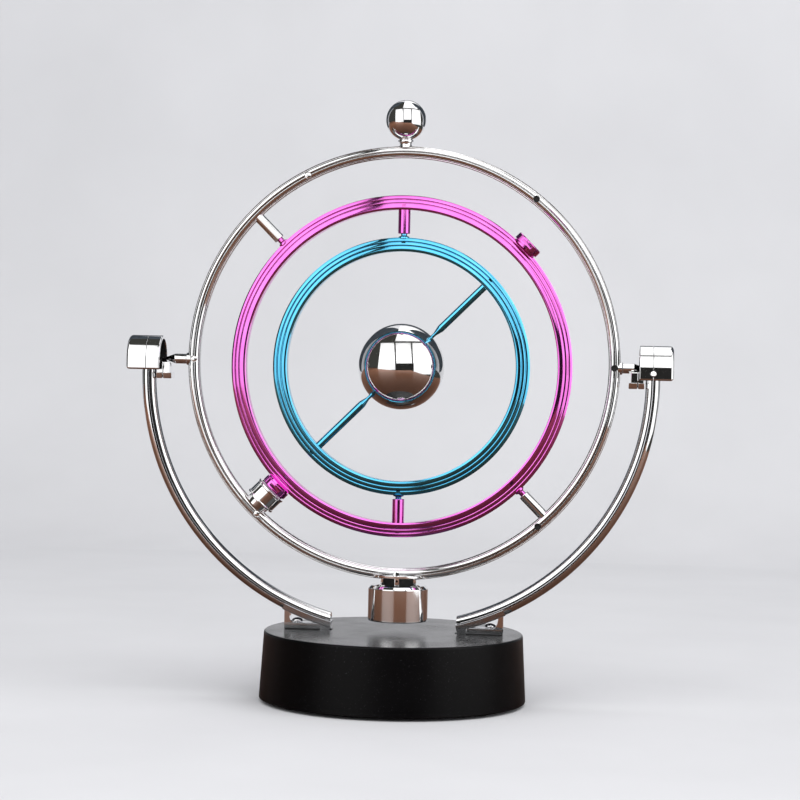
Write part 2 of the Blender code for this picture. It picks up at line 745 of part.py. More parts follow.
def lead():
    """The USB lead: a plug in the base's jack, a round coil behind the base and a USB plug."""
    outline = [
        (1.0, 40.9),
        (1.75, 40.9),
        (1.75, 50.3),
        (3.6, 50.3),
        (4.2, 51.0),
        (4.2, 70.0),
        (3.6, 72.0),
        (2.9, 72.4),
        (2.3, 84.0),
        (0, 84.0),
        (0, 49.8),
        (1.0, 49.8),
    ]
    place("dc_plug", revolve(outline, 16), "black_rubber", (0, 0, JACK_Z), REAR_TURN)
    lead_run("lead_plug_to_coil", PLUG_TO_COIL)
    lead_run("lead_coil_to_usb", COIL_TO_USB)
    half_w = 2 * LEAD_R + GAP
    low, high = COIL_MID_R - half_w, COIL_MID_R + half_w
    outline = [(low, 0), (high, 0), (high, COIL_H), (low, COIL_H)]
    place("lead_coil", revolve(outline, 28), "black_rubber", (*COIL_AT, 0))

    relief, body, shell = 12.0, 32.0, 50.0
    grip = block((relief, -8, -4), (body, 8, 4))
    plug = place("usb_plug", grip, "black_rubber", USB_AT, (0, 0, USB_HEADING))
    tail = [(0, GAP), (2.2, GAP), (3.2, relief + 1), (0, relief + 1)]
    joint = place("usb_relief", revolve(tail, 16), "black_rubber")
    joint.parent = plug
    joint.rotation_euler = (0, math.radians(90), 0)
    combine(plug, joint, "UNION")
    metal = place("usb_shell", block((body - 1, -6.0, -2.25), (shell, 6.0, 2.25)), "steel")
    metal.parent = plug
    combine(plug, metal, "UNION")
    mouth = place("usb_mouth", block((body + 4, -5.6, 0.1), (shell + 1, 5.6, 1.9)), "steel")
    mouth.parent = plug
    combine(plug, mouth, "DIFFERENCE")


def build():
    clear_scene()
    base_shell()
    bottom_cover()
    feet_and_screws()
    batteries()
    drive_coil()
    electronics()
    battery_door()
    arm(-1)
    arm(1)
    outer_ring()
    middle_ring()
    inner_ring()
    centre_ball()
    lead()


build()
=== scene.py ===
"""Looks for the magnetic desk sculpture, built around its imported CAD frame.

Lengths are in millimetres and become metres where a mesh is made. The origin is the middle of the
base on the floor, +Z is up and the front faces -Y. Turned shapes are drawn around local Z as
outlines of (radius, height), where a third number is that corner's own rounding. RING_TURN lays such
a shape in the rings' plane, and along(angle) points it outward at that angle, from +X towards +Z.
"""

import json
from math import acos, asin, cos, degrees, hypot, pi, radians, sin, sqrt, tan

import bmesh
import bpy
from mathutils import Matrix, Vector


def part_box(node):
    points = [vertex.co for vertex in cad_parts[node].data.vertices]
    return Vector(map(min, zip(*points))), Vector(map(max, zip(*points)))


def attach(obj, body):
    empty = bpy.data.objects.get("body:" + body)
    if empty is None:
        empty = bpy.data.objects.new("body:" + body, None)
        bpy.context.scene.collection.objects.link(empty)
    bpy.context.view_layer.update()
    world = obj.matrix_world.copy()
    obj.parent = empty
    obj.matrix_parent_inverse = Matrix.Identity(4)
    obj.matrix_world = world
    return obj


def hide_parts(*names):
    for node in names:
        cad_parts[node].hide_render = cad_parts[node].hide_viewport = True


MM = 0.001
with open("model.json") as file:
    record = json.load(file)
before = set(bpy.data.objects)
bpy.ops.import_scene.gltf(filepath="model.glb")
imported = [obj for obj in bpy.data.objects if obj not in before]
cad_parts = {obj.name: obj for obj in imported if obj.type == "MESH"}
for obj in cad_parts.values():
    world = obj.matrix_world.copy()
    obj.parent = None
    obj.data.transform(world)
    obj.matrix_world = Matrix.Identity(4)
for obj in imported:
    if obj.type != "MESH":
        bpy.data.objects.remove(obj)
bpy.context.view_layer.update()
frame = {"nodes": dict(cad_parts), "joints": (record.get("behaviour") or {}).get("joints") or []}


def cad(node):
    """A CAD node's lowest and highest corner, in mm."""
    low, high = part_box(node)
    return low / MM, high / MM


# Driving sizes, read from the frame
PLACES = {j["name"]: Vector(j["pos_m"]) / MM for j in frame["joints"] if "pos_m" in j}
HUB = PLACES["ring_swing"]  # the outer ring's centre
CORE = PLACES["middle_ring_spin"]  # the centre that the inner two rings and the ball share
PIVOT = HUB.z
BASE_BOTTOM_R = cad("base_shell")[1].x
BASE_UNDERSIDE = cad("base_shell")[0].z
BASE_TOP = cad("base_shell")[1].z
OUTER_R = cad("outer_ring_front")[1].x - HUB.x
INNER_R = cad("inner_ring_front")[1].x - CORE.x
BALL_R = cad("centre_ball_front")[1].x - CORE.x
CAP_OUT = cad("right_arm_outer_half")[1].x
CAP_HALF_Y = cad("right_arm_outer_half")[1].y
CUP_R = cad("drive_magnet_cup")[1].x - HUB.x
CUP_BOTTOM = cad("drive_magnet_cup")[0].z

# Sizes that the frame's boxes don't give
BASE_TOP_R, BASE_WALL = 51.8, 2.2
OUTER_WIDTH, OUTER_HALF = 4.7, 2.7  # a ring's width in its plane, and half its depth
MIDDLE_R, MIDDLE_WIDTH, MIDDLE_HALF = 68.3, 5.8, 3.0
INNER_WIDTH, INNER_HALF = 5.6, 2.8
SEAM = 0.15  # half the gap between a ring's or an arm's halves, and the whole gap of the ball's
HAIRLINE = 0.09  # half the gap between a cap's halves
DIAGONAL = 135.0  # the middle ring's axle
BALL_ANGLE = 45.0  # the ball's spindle
MAGNET_ANGLES = (45, 225)  # the middle ring's magnet caps
HOLDER_ANGLE = 225  # the magnet holder on the outer ring
ARM_Z, ARM_R = 129.9, 101.0  # the height of the arms' centre, and their radius at the seam
ARM_HALF_W, ARM_HALF_D = 2.95, 3.2
ARM_END_X = 25.3
CAP_IN, CAP_BOTTOM, CAP_WALL = 95.5, PIVOT - 4.5, 1.3
CAP_MOUTH = 97.9  # how far out the cap's inner end is open below the axle
FOOT_OUT, FOOT_SCREW_X = 43.8, 38.8
PLATE_LOW = BASE_TOP + 0.3  # the underside of a foot's plate
TOP_BALL_R, TOP_BALL_OUT, TOP_BALL_ANGLE = 8.03, 97.0, 90.5
HOLDER_LOW = 73.3
CUP_TOP = 46.8
PAD_LOW, PAD_R = 50.2, 10.3  # the disc between the cup's neck and the ring
PEG_R = 1.35
JACK_Z = 11.9
LEAD_R = 1.8

RING_TURN = (90, 0, 0)
REAR_TURN = (-90, 0, 0)
SHARP = radians(34)  # a sharper edge than this isn't smoothed over


# Camera


def added(name, data):
    """A new object in the scene."""
    obj = bpy.data.objects.new(name, data)
    bpy.context.scene.collection.objects.link(obj)
    return obj


def camera():
    """The front view: 5 degrees to the right, a little above the axle and slightly rolled."""
    distance, height, aim_x, aim_z = 950.0, 142.0, 0.6, 120.9
    azimuth, roll = radians(5.0), radians(1.25)
    eye = Vector((distance * sin(azimuth), -distance * cos(azimuth), height))
    back = (eye - Vector((aim_x, 0.0, aim_z))).normalized()
    right = Vector((0, 0, 1)).cross(back).normalized()
    up = back.cross(right)
    rolled_right = right * cos(roll) + up * sin(roll)
    rolled_up = up * cos(roll) - right * sin(roll)
    data = bpy.data.cameras.new("camera")
    data.sensor_width = 36.0
    data.lens = 106.9
    data.clip_start = 0.01
    obj = added("camera", data)
    turn = Matrix((rolled_right, rolled_up, back)).transposed().to_4x4()
    obj.matrix_world = Matrix.Translation(eye * MM) @ turn
    bpy.context.scene.camera = obj


camera()


# Materials


def fill(node, **values):
    """Set a node's input sockets; an underscore stands for a space in a socket's name."""
    for key, value in values.items():
        node.inputs[key.replace("_", " ")].default_value = value
    return node


class Nodes:
    """A short way to write a material's node tree."""

    def __init__(self, name):
        self.material = bpy.data.materials.new(name)
        self.material.use_nodes = True
        self.tree = self.material.node_tree
        self.shader = self.tree.nodes["Principled BSDF"]
        self.place = self.add("ShaderNodeTexCoord").outputs["Object"]

    def add(self, kind, **values):
        node = self.tree.nodes.new(kind)
        for key, value in values.items():
            setattr(node, key, value)
        return node

    def link(self, source, target):
        self.tree.links.new(source, target)

    def noise(self, scale, detail, stretch=(1, 1, 1)):
        mapping = fill(self.add("ShaderNodeMapping"), Scale=stretch)
        self.link(self.place, mapping.inputs["Vector"])
        node = fill(self.add("ShaderNodeTexNoise"), Scale=scale, Detail=detail)
        self.link(mapping.outputs["Vector"], node.inputs["Vector"])
        return node.outputs["Fac"]

    def ramp(self, source, low, high, a, b):
        """Values from low to high become a to b: two numbers, or two colours."""
        if isinstance(a, tuple):
            node = self.add("ShaderNodeValToRGB")
            first, last = node.color_ramp.elements
            first.position, first.color = low, (*a, 1)
            last.position, last.color = high, (*b, 1)
            self.link(source, node.inputs["Fac"])
            return node.outputs["Color"]
        node = self.add("ShaderNodeMapRange")
        fill(node, From_Min=low, From_Max=high, To_Min=a, To_Max=b)
        self.link(source, node.inputs["Value"])
        return node.outputs["Result"]

    def vary(self, socket, source, low, high, a, b):
        """Drive one of the shader's sockets with such a ramp."""
        self.link(self.ramp(source, low, high, a, b), self.shader.inputs[socket])

    def bump(self, *layers):
        """Stack bumps, each (height, distance in mm, strength)."""
        normal = None
        for height, distance, strength in layers:
            node = fill(self.add("ShaderNodeBump"), Distance=distance * MM, Strength=strength)
            self.link(height, node.inputs["Height"])
            if normal is not None:
                self.link(normal, node.inputs["Normal"])
            normal = node.outputs["Normal"]
        self.link(normal, self.shader.inputs["Normal"])


def plated(name, colour, worn, roughness=0.035):
    """Mirror plating on moulded plastic, with a slight waviness, a fine grain and faint smears."""
    m = Nodes(name)
    smear = m.noise(90, 4, (1, 1, 0.35))
    m.vary("Base Color", smear, 0.35, 0.75, colour, worn)
    m.vary("Roughness", smear, 0.4, 0.8, roughness, roughness * 2.6)
    fill(m.shader, Metallic=1.0)
    m.bump((m.noise(75, 1), 0.35, 0.06), (m.noise(1400, 2), 0.02, 0.12))
    return m.material


def black_plastic():
    """Fine-grained matte black with pale specks; its top is glossier, and its base colour is lightened
    there as painted sheen.
    """
    m = Nodes("black_plastic")
    specks = m.noise(2300, 1)
    dusty = m.ramp(specks, 0.70, 0.76, (0.0015, 0.0015, 0.0018), (0.03, 0.03, 0.032))
    facing = m.add("ShaderNodeSeparateXYZ")
    m.link(m.add("ShaderNodeNewGeometry").outputs["Normal"], facing.inputs["Vector"])
    top_from, top_to = 0.85, 0.97  # where the normal's Z begins and ends the change to the top
    upward = m.ramp(facing.outputs["Z"], top_from, top_to, 0.0, 1.0)
    # Upward faces get a lighter base colour added: a painted sheen on the top.
    painted_top_sheen = m.add("ShaderNodeMix", data_type="RGBA", blend_type="ADD")
    m.link(upward, painted_top_sheen.inputs["Factor"])
    m.link(dusty, painted_top_sheen.inputs["A"])
    fill(painted_top_sheen, B=(0.022, 0.022, 0.022, 1))
    m.link(painted_top_sheen.outputs["Result"], m.shader.inputs["Base Color"])
    rough = m.add("ShaderNodeMath", operation="MULTIPLY_ADD")
    m.link(upward, rough.inputs[0])
    rough.inputs[1].default_value = -0.09
    m.link(m.ramp(m.noise(60, 3), 0.3, 0.7, 0.30, 0.37), rough.inputs[2])
    m.link(rough.outputs["Value"], m.shader.inputs["Roughness"])
    m.vary("Specular IOR Level", facing.outputs["Z"], top_from, top_to, 0.12, 0.5)
    m.bump((m.noise(1700, 2), 0.08, 0.15), (m.noise(160, 2), 0.2, 0.04))
    return m.material


def grained(name, colour, second, roughness, rougher, scales, depth):
    """Matte plastic or rubber; the noise scales are those of the colour, the gloss and the grain."""
    m = Nodes(name)
    m.vary("Base Color", m.noise(scales[0], 3), 0.35, 0.7, colour, second)
    m.vary("Roughness", m.noise(scales[1], 2), 0.3, 0.7, roughness, roughness + rougher)
    m.bump((m.noise(scales[2], 2), *depth))
    return m.material


def rubber(name, colour, roughness):
    worn = tuple(c * 1.7 + 0.004 for c in colour)
    return grained(name, colour, worn, roughness, 0.12, (300, 120, 1500), (0.06, 0.2))


def moulded(name, colour, second, roughness):
    return grained(name, colour, second, roughness, 0.1, (400, 150, 1600), (0.05, 0.15))


def metal(name, colour, roughness, grain=(1, 1, 1)):
    """Bare metal, drawn along the grain."""
    m = Nodes(name)
    drawn = m.noise(500, 3, grain)
    m.vary("Base Color", drawn, 0.3, 0.7, colour, tuple(c * 0.86 for c in colour))
    m.vary("Roughness", drawn, 0.3, 0.7, roughness, roughness + 0.1)
    fill(m.shader, Metallic=1.0)
    m.bump((drawn, 0.03, 0.15))
    return m.material


CHROME = plated("chrome_plating", (0.90, 0.90, 0.91), (0.80, 0.80, 0.80))
MAGENTA = plated("magenta_plating", (0.82, 0.20, 0.68), (0.70, 0.14, 0.56), 0.06)
CYAN = plated("cyan_plating", (0.125, 0.52, 0.76), (0.085, 0.43, 0.66), 0.06)
FROSTED = plated("frosted_plating", (0.50, 0.51, 0.53), (0.38, 0.38, 0.40), 0.13)
BLACK = black_plastic()
# Near-black for recesses, gaps and undersides that are only in shade: painted shade.
PAINTED_SHADE_BLACK = rubber("unplated_recess", (0.004, 0.004, 0.004), 0.6)
SOFT_BLACK = rubber("black_rubber", (0.012, 0.012, 0.012), 0.65)
CABLE_BLACK = rubber("cable_jacket", (0.010, 0.010, 0.011), 0.26)
STEEL = metal("plated_steel", (0.72, 0.72, 0.74), 0.12)
USB_STEEL = metal("usb_shell_steel", (0.75, 0.75, 0.76), 0.2, (1, 1, 6))
NICKEL = metal("magnet_nickel", (0.62, 0.61, 0.60), 0.16)
COPPER = metal("enamelled_copper", (0.72, 0.30, 0.12), 0.3, (1, 1, 8))
BOARD = moulded("circuit_board_lacquer", (0.015, 0.16, 0.06), (0.02, 0.20, 0.08), 0.35)
CELL = moulded("battery_wrap", (0.015, 0.04, 0.13), (0.02, 0.055, 0.17), 0.25)
WHITE = moulded("white_moulding", (0.72, 0.71, 0.68), (0.66, 0.65, 0.62), 0.35)

# What most pieces of a body share: material, body and slot
FIXED = (CHROME, "base", "chrome")
OUTER = (CHROME, "outer_ring", "chrome")
MIDDLE = (MAGENTA, "middle_ring", "magenta_chrome")
INNER = (CYAN, "inner_ring", "cyan_chrome")


# Helpers


def placed(obj, at, turn):
    """Put an object at that point in mm, turned by those degrees."""
    obj.location = Vector(at) * MM
    obj.rotation_euler = [radians(a) for a in turn]
    return obj


def shape(name, bm, material, at=(0, 0, 0), turn=(0, 0, 0)):
    """Turn a bmesh into a named object."""
    bmesh.ops.delete(bm, geom=[v for v in bm.verts if not v.link_faces], context="VERTS")
    bmesh.ops.recalc_face_normals(bm, faces=bm.faces)
    mesh = bpy.data.meshes.new(name)
    bm.to_mesh(mesh)
    bm.free()
    mesh.shade_smooth()
    mesh.set_sharp_from_angle(angle=SHARP)
    mesh.materials.append(material)
    return placed(added(name, mesh), at, turn)


def ride(obj, body, slot, *nodes):
    """The piece moves with that body and stands for those CAD nodes; slot is not used."""
    if obj.type == "MESH":  # large faces set the shading, so flats stay flat beside rounded edges
        mod = obj.modifiers.new("even_shading", "WEIGHTED_NORMAL")
        mod.keep_sharp = True
        mod.weight = 100
    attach(obj, body)
    if nodes:
        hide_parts(*nodes)
    return obj


def piece(name, bm, material, body, slot, *nodes, at=(0, 0, 0), turn=(0, 0, 0)):
    """A shape that rides on that body."""
    return ride(shape(name, bm, material, at, turn), body, slot, *nodes)


def arc(steps, start, end):
    """The cosine and sine of even steps from one angle to another, in degrees."""
    for k in range(steps + 1):
        a = radians(start + (end - start) * k / steps)
        yield cos(a), sin(a)


def rounded(points, radius=0.0, steps=4):
    """A closed outline with its corners rounded. A point may be (r, h, its own radius)."""
    result = []
    count = len(points)
    for i, point in enumerate(points):
        own = point[2] if len(point) > 2 else radius
        here = Vector(point[:2])
        before = Vector(points[i - 1][:2]) - here
        after = Vector(points[(i + 1) % count][:2]) - here
        if own == 0 or before.length < 1e-6 or after.length < 1e-6:
            result.append(tuple(here))
            continue
        reach = min(own, before.length * 0.45, after.length * 0.45)
        a = here + before.normalized() * reach
        b = here + after.normalized() * reach
        for k in range(steps + 1):
            t = k / steps
            result.append(tuple(a * (1 - t) ** 2 + here * 2 * t * (1 - t) + b * t * t))
    return result


def revolve(outline, steps=96, start=0.0, sweep=360.0):
    """Turn a closed outline of (radius, height) points about local Z."""
    bm = bmesh.new()
    full = sweep >= 360.0
    columns = steps if full else steps + 1
    angles = [radians(start + sweep * k / steps) for k in range(columns)]
    rings = []
    for radius, height in outline:
        if abs(radius) < 1e-6:
            rings.append([bm.verts.new((0, 0, height * MM))] * columns)
            continue
        r, z = radius * MM, height * MM
        rings.append([bm.verts.new((r * cos(a), r * sin(a), z)) for a in angles])
    for i, row in enumerate(rings):
        following = rings[(i + 1) % len(rings)]
        for k in range(steps):
            n = (k + 1) % columns
            corners = list(dict.fromkeys([row[k], row[n], following[n], following[k]]))
            if len(corners) > 2:
                bm.faces.new(corners)
    if not full:
        bm.faces.new([row[0] for row in rings])
        bm.faces.new([row[-1] for row in reversed(rings)])
    return bm


def rod(radius, low, high, steps, fillet=0.0):
    """A cylinder round local Z, its rims rounded by the fillet."""
    outline = [(0, low), (radius, low), (radius, high), (0, high)]
    if fillet:
        outline = rounded([(r, h, fillet if r else 0) for r, h in outline])
    return revolve(outline, steps)


def skin(bm, rows, across=False, along_rows=False):
    """Cover rows of points in mm with quads, closed across each row and along the rows if asked."""
    rows = [[bm.verts.new(Vector(p) * MM) for p in row] for row in rows]
    for lower, upper in zip(rows, [*rows[1:], rows[0]] if along_rows else rows[1:]):
        for k in range(len(lower) if across else len(lower) - 1):
            j = (k + 1) % len(lower)
            bm.faces.new([lower[k], lower[j], upper[j], upper[k]])
    return rows


def loft(sections):
    """Join sections, each a loop of (x, y, z) points in mm, and cap both ends."""
    bm = bmesh.new()
    loops = skin(bm, sections, across=True)
    bm.faces.new(loops[0])
    bm.faces.new(list(reversed(loops[-1])))
    return bm


def block(low, high):
    (x0, y0, z0), (x1, y1, z1) = low, high
    return loft([[(x0, y0, z), (x1, y0, z), (x1, y1, z), (x0, y1, z)] for z in (z0, z1)])


def mirrored(bm, side):
    """The shape for that side: 1 is the right, as drawn, and -1 the left."""
    for v in bm.verts:
        v.co.x *= side
    return bm


def eased(bm, width, segments=2):
    """Round every edge of a simple solid by that width in mm."""
    edges = bm.edges[:]
    bmesh.ops.bevel(bm, geom=edges, offset=width * MM, segments=segments, profile=0.5, affect="EDGES")
    return bm


def joined(*parts):
    """One bmesh that holds several closed shells."""
    mesh = bpy.data.meshes.new("joined")
    first = parts[0]
    for other in parts[1:]:
        other.to_mesh(mesh)
        first.from_mesh(mesh)
        other.free()
    bpy.data.meshes.remove(mesh)
    return first


def turned(bm, at=(0, 0, 0), turn=(0, 0, 0)):
    """Move a bmesh, for shells that become part of one piece."""
    matrix = Matrix.Translation(Vector(at) * MM)
    for axis, angle in zip("XYZ", turn):
        if angle:
            matrix = matrix @ Matrix.Rotation(radians(angle), 4, axis)
    bmesh.ops.transform(bm, matrix=matrix, verts=bm.verts)
    return bm


def cut(obj, *cutters):
    """Take the cutters out of a piece and apply the result, so that the piece stays a plain mesh."""
    for bm in cutters:
        tool = shape("cutter", bm, obj.data.materials[0])
        bpy.context.view_layer.update()
        mod = obj.modifiers.new("cut", "BOOLEAN")
        mod.operation = "DIFFERENCE"
        mod.solver = "EXACT"
        mod.object = tool
        bpy.context.view_layer.update()
        graph = bpy.context.evaluated_depsgraph_get()
        mesh = bpy.data.meshes.new_from_object(obj.evaluated_get(graph))
        obj.modifiers.remove(mod)
        old = obj.data
        obj.data = mesh
        bpy.data.meshes.remove(old)
        bpy.data.objects.remove(tool)
    obj.data.shade_smooth()
    obj.data.set_sharp_from_angle(angle=SHARP)
    return obj


def along(angle):
    """The turn that lays local Z along that angle in the rings' plane."""
    return (0, 90 - angle, 0)


# Lead

LEAD_LOW = 1.85  # the height of the lead's middle where it lies on the floor
COIL_AT = (-32.0, 77.0)
COIL_OUTER, COIL_INNER = 22.3, 18.7
COIL_LAYERS = (9.0, 5.4, LEAD_LOW)
USB_AT, USB_HEADING = (9.0, 73.5, 4.05), 50.0
PLUG_TO_COIL = [(0.0, 84.3, 11.9), (0.0, 89.5, 11.6), (-1.3, 94.8, 10.8), (-5.0, 99.2, 9.8)]
PLUG_TO_COIL += [(-10.6, 101.6, 9.1), (-16.0, 101.8, 8.9), (-19.5, 101.0, 9.0)]
COIL_TO_USB = [(COIL_AT[0] + 0.5, 54.75, LEAD_LOW), (COIL_AT[0] + 8, 54.7, LEAD_LOW)]
COIL_TO_USB += [(-17.2, 55.0, LEAD_LOW), (-12.0, 56.2, LEAD_LOW), (-6.5, 58.6, LEAD_LOW)]
COIL_TO_USB += [(-1.5, 62.0, LEAD_LOW), (3.0, 66.4, 2.3), (6.6, 70.6, 3.3), (8.8, 73.3, 4.05)]


def coil_turns():
    """Five and a half turns, counter-clockwise and downwards; each steps across near its end."""
    top, middle, bottom = COIL_LAYERS
    seats = [(COIL_OUTER, top), (COIL_INNER, top), (COIL_INNER, middle), (COIL_OUTER, middle)]
    seats += [(COIL_INNER, bottom), (COIL_OUTER, bottom)]
    points = []
    per_turn, step_from, start = 36, 0.8, 95
    for number, (radius, height) in enumerate(seats):
        last = number == len(seats) - 1
        for k in range(per_turn // 2 if last else per_turn):
            share = k / per_turn
            r, z = radius, height
            if share > step_from and not last:
                t = (share - step_from) / (1 - step_from)
                ease = t * t * (3 - 2 * t)
                r += (seats[number + 1][0] - radius) * ease
                z += (seats[number + 1][1] - height) * ease
            a = radians(start + 360 * share)
            points.append((COIL_AT[0] + r * cos(a), COIL_AT[1] + r * sin(a), z))
    return points


def smooth_route(points, spacing):
    """Points about that far apart on a smooth curve through the given points."""
    chosen = [Vector(p) for p in points]
    before, after = 2 * chosen[0] - chosen[1], 2 * chosen[-1] - chosen[-2]
    padded = [before, *chosen, after]
    route = []
    for a, b, c, d in zip(padded, padded[1:], padded[2:], padded[3:]):
        count = max(1, round((c - b).length / spacing))
        for k in range(count):
            t = k / count
            square = t * t * (a - 2.5 * b + 2 * c - 0.5 * d)
            cube = t * t * t * (1.5 * b - 0.5 * a - 1.5 * c + 0.5 * d)
            route.append(b + 0.5 * t * (c - a) + square + cube)
    return [*route, chosen[-1]]


def tube(name, points, radius, material):
    curve = bpy.data.curves.new(name, "CURVE")
    curve.dimensions = "3D"
    spline = curve.splines.new("POLY")
    route = smooth_route(points, 1.6)
    spline.points.add(len(route) - 1)
    for point, at in zip(spline.points, route):
        point.co = (*(at * MM), 1.0)
    curve.bevel_depth = radius * MM
    curve.bevel_resolution = 5
    curve.use_fill_caps = True
    curve.materials.append(material)
    return added(name, curve)


def ribbed(length, wide, narrow, ribs):
    """Outline points of a strain relief whose ribs grow smaller along it, from z 0 to its length."""
    groove, solid = 0.45, 0.62  # the grooves' depth, and a rib's share of its pitch
    points = []
    for k in range(ribs):
        z0, z1, end = length * k / ribs, length * (k + solid) / ribs, length * (k + 1) / ribs
        r = wide + (narrow - wide) * k / ribs
        points += [(r, z0 + 0.05), (r, z1), (r - groove, z1 + 0.1), (r - groove, end - 0.1)]
    return points


def dc_plug():
    """The barrel in the inlet, and the grip with finger grooves and a strain relief."""
    barrel_r, face, grip_r, relief, relief_long = 1.75, 50.3, 4.2, 72.0, 12.0
    barrel = rounded([(1.0, 40.9), (barrel_r, 41.1), (barrel_r, 50.4), (1.0, 50.4)], 0.15)
    at = (0, 0, JACK_Z)
    barrel = piece("dc_plug_barrel", revolve(barrel, 40), NICKEL, "base", "steel", at=at, turn=REAR_TURN)
    grip = [(0, face), (3.6, face), (grip_r, 51.0)]
    for k in range(5):
        z, groove_r = 53.0 + 2.6 * k, 3.75
        grip += [(grip_r, z), (groove_r, z + 0.35), (groove_r, z + 1.0), (grip_r, z + 1.35)]
    grip += [(grip_r, relief - 2), (3.5, relief)]
    grip += [(r, relief + z) for r, z in ribbed(relief_long, 3.1, 2.35, 5)]
    grip += [(2.3, relief + relief_long), (0, relief + relief_long)]
    grip = shape("dc_plug_grip", revolve(grip, 56), SOFT_BLACK, at, REAR_TURN)
    return barrel, ride(grip, "base", "black_rubber", "dc_plug")


def usb_plug():
    """The overmould and ribbed relief, and the steel shell with two windows in each face, its white
    tongue and four contacts."""
    relief, body_end, shell_end = 12.0, 32.0, 50.0
    facing = Matrix.Translation(Vector(USB_AT) * MM) @ Matrix.Rotation(radians(USB_HEADING), 4, "Z")

    def laid(obj, slot, *nodes):
        obj.matrix_world = facing
        return ride(obj, "base", slot, *nodes)

    grip = eased(block((relief, -8, -4), (body_end, 8, 4)), 1.3, 4)
    for x in (relief + 5.5, relief + 8.0, relief + 10.5, relief + 13.0):
        rib = eased(block((x, -5.4, -4.0), (x + 1.1, 5.4, 4.0)), 0.3)
        bmesh.ops.scale(rib, vec=(1, 1, 1.008), verts=rib.verts)  # stands just proud of the grip
        grip = joined(grip, rib)
    tail = [(0, 0.3), (2.25, 0.3)]
    tail += [(r, relief - z) for r, z in reversed(ribbed(relief - 0.3, 3.3, 2.3, 5))]
    tail += [(3.3, relief + 0.6), (0, relief + 0.6)]
    grip = joined(grip, turned(revolve(tail, 40), turn=(0, 90, 0)))
    grip = laid(shape("usb_plug_grip", grip, SOFT_BLACK), "black_rubber", "usb_plug")

    shell = eased(block((body_end - 1, -6, -2.25), (shell_end, 6, 2.25)), 0.35, 3)
    cutters = [block((body_end + 2, -5.65, -1.9), (shell_end + 1, 5.65, 1.9))]
    for y in (-3.0, 3.0):
        for low, high in ((1.0, 3.0), (-3.0, -1.0)):
            cutters.append(block((41.0, y - 1.2, low), (43.4, y + 1.2, high)))
    shell = laid(cut(shape("usb_plug_shell", shell, USB_STEEL), *cutters), "steel")
    tongue = eased(block((body_end + 1, -5.6, -1.85), (shell_end - 1.2, 5.6, 0.05)), 0.15, 1)
    tongue = laid(shape("usb_plug_tongue", tongue, WHITE), "white_plastic")
    pads = [
        eased(block((shell_end - 8.5, y - 0.5, -0.1), (shell_end - 2.0, y + 0.5, 0.16)), 0.04, 1)
        for y in (-3.5, -1.2, 1.2, 3.5)
    ]
    contacts = laid(shape("usb_plug_contacts", joined(*pads), COPPER), "copper")
    return grip, shell, tongue, contacts


def band(loop, width, thick, across):
    """A closed flat strip that follows a loop; width is half its extent along that direction."""
    loop, across = [Vector(p) for p in loop], Vector(across)
    centre = sum(loop, Vector()) / len(loop)
    corners = ((0, -width), (thick, -width), (thick, width), (0, width))
    rows = []
    for p in loop:
        out = (p - centre).normalized()
        rows.append([p + out * a + across * b for a, b in corners])
    bm = bmesh.new()
    skin(bm, rows, across=True, along_rows=True)
    return bm


def lead():
    """The plugs, the cable coiled between them and the tie round the coil."""
    plug = dc_plug()
    usb = usb_plug()
    cable = tube("usb_lead", [*PLUG_TO_COIL, *coil_turns(), *COIL_TO_USB], LEAD_R, CABLE_BLACK)
    ride(cable, "base", "black_rubber", "lead_plug_to_coil", "lead_coil", "lead_coil_to_usb")
    x, y = COIL_AT
    loop = [(x + 20.5 + 4.1 * c, y, 5.55 + 5.2 * s) for c, s in arc(32, 0, 360)][:-1]
    tie = piece("lead_tie", band(loop, 1.6, 0.35, (0, 1, 0)), SOFT_BLACK, "base", "black_rubber")


lead()


# Base


def base_shell():
    """The shell, open below, with a slot under each arm's end and the power inlet's hole."""
    outline = [(0, BASE_TOP), (BASE_TOP_R, BASE_TOP, 0.9), (BASE_BOTTOM_R, BASE_UNDERSIDE, 0.35)]
    outline.append((BASE_BOTTOM_R - BASE_WALL, BASE_UNDERSIDE, 0.2))
    outline += [(BASE_TOP_R - BASE_WALL, BASE_TOP - BASE_WALL), (0, BASE_TOP - BASE_WALL)]
    shell = shape("base_shell_skin", revolve(rounded(outline, steps=5), 160), BLACK)
    cutters = [mirrored(block((24.6, -2.7, 24.0), (30.8, 2.7, 30.0)), side) for side in (-1, 1)]
    cutters.append(turned(rod(4.7, 0, 8, 48), (0, 47.5, JACK_Z), REAR_TURN))
    ride(cut(shell, *cutters), "base", "black_matte", "base_shell")


def jack_rim():
    """The raised rim round the power inlet."""
    rim = revolve(rounded([(4.6, 0), (5.6, 0), (5.6, 0.5), (4.6, 0.5)], 0.2, 3), 48)
    at = (0, BASE_BOTTOM_R - 1.0, JACK_Z)
    piece("jack_rim", rim, BLACK, "base", "black_matte", at=at, turn=REAR_TURN)


base_shell()
jack_rim()


# Arms


def arm_half_section(side):
    """Half of the arm's section, (distance from the arc's centre, depth): a rounded bead."""
    flat, straight, corner = ARM_R + side * SEAM, 0.55, 0.75
    bead = [
        (ARM_R + side * (straight + (ARM_HALF_W - straight) * c), ARM_HALF_D * s)
        for c, s in arc(16, -90, 90)
    ]
    return [(flat, -ARM_HALF_D + corner), *bead, (flat, ARM_HALF_D - corner)]


def upright(bm, side):
    """Stand a sweep round local Z upright, as the arm on that side."""
    for v in bm.verts:
        x, y, z = v.co
        v.co = (side * x, -z, y + ARM_Z * MM)
    return bm


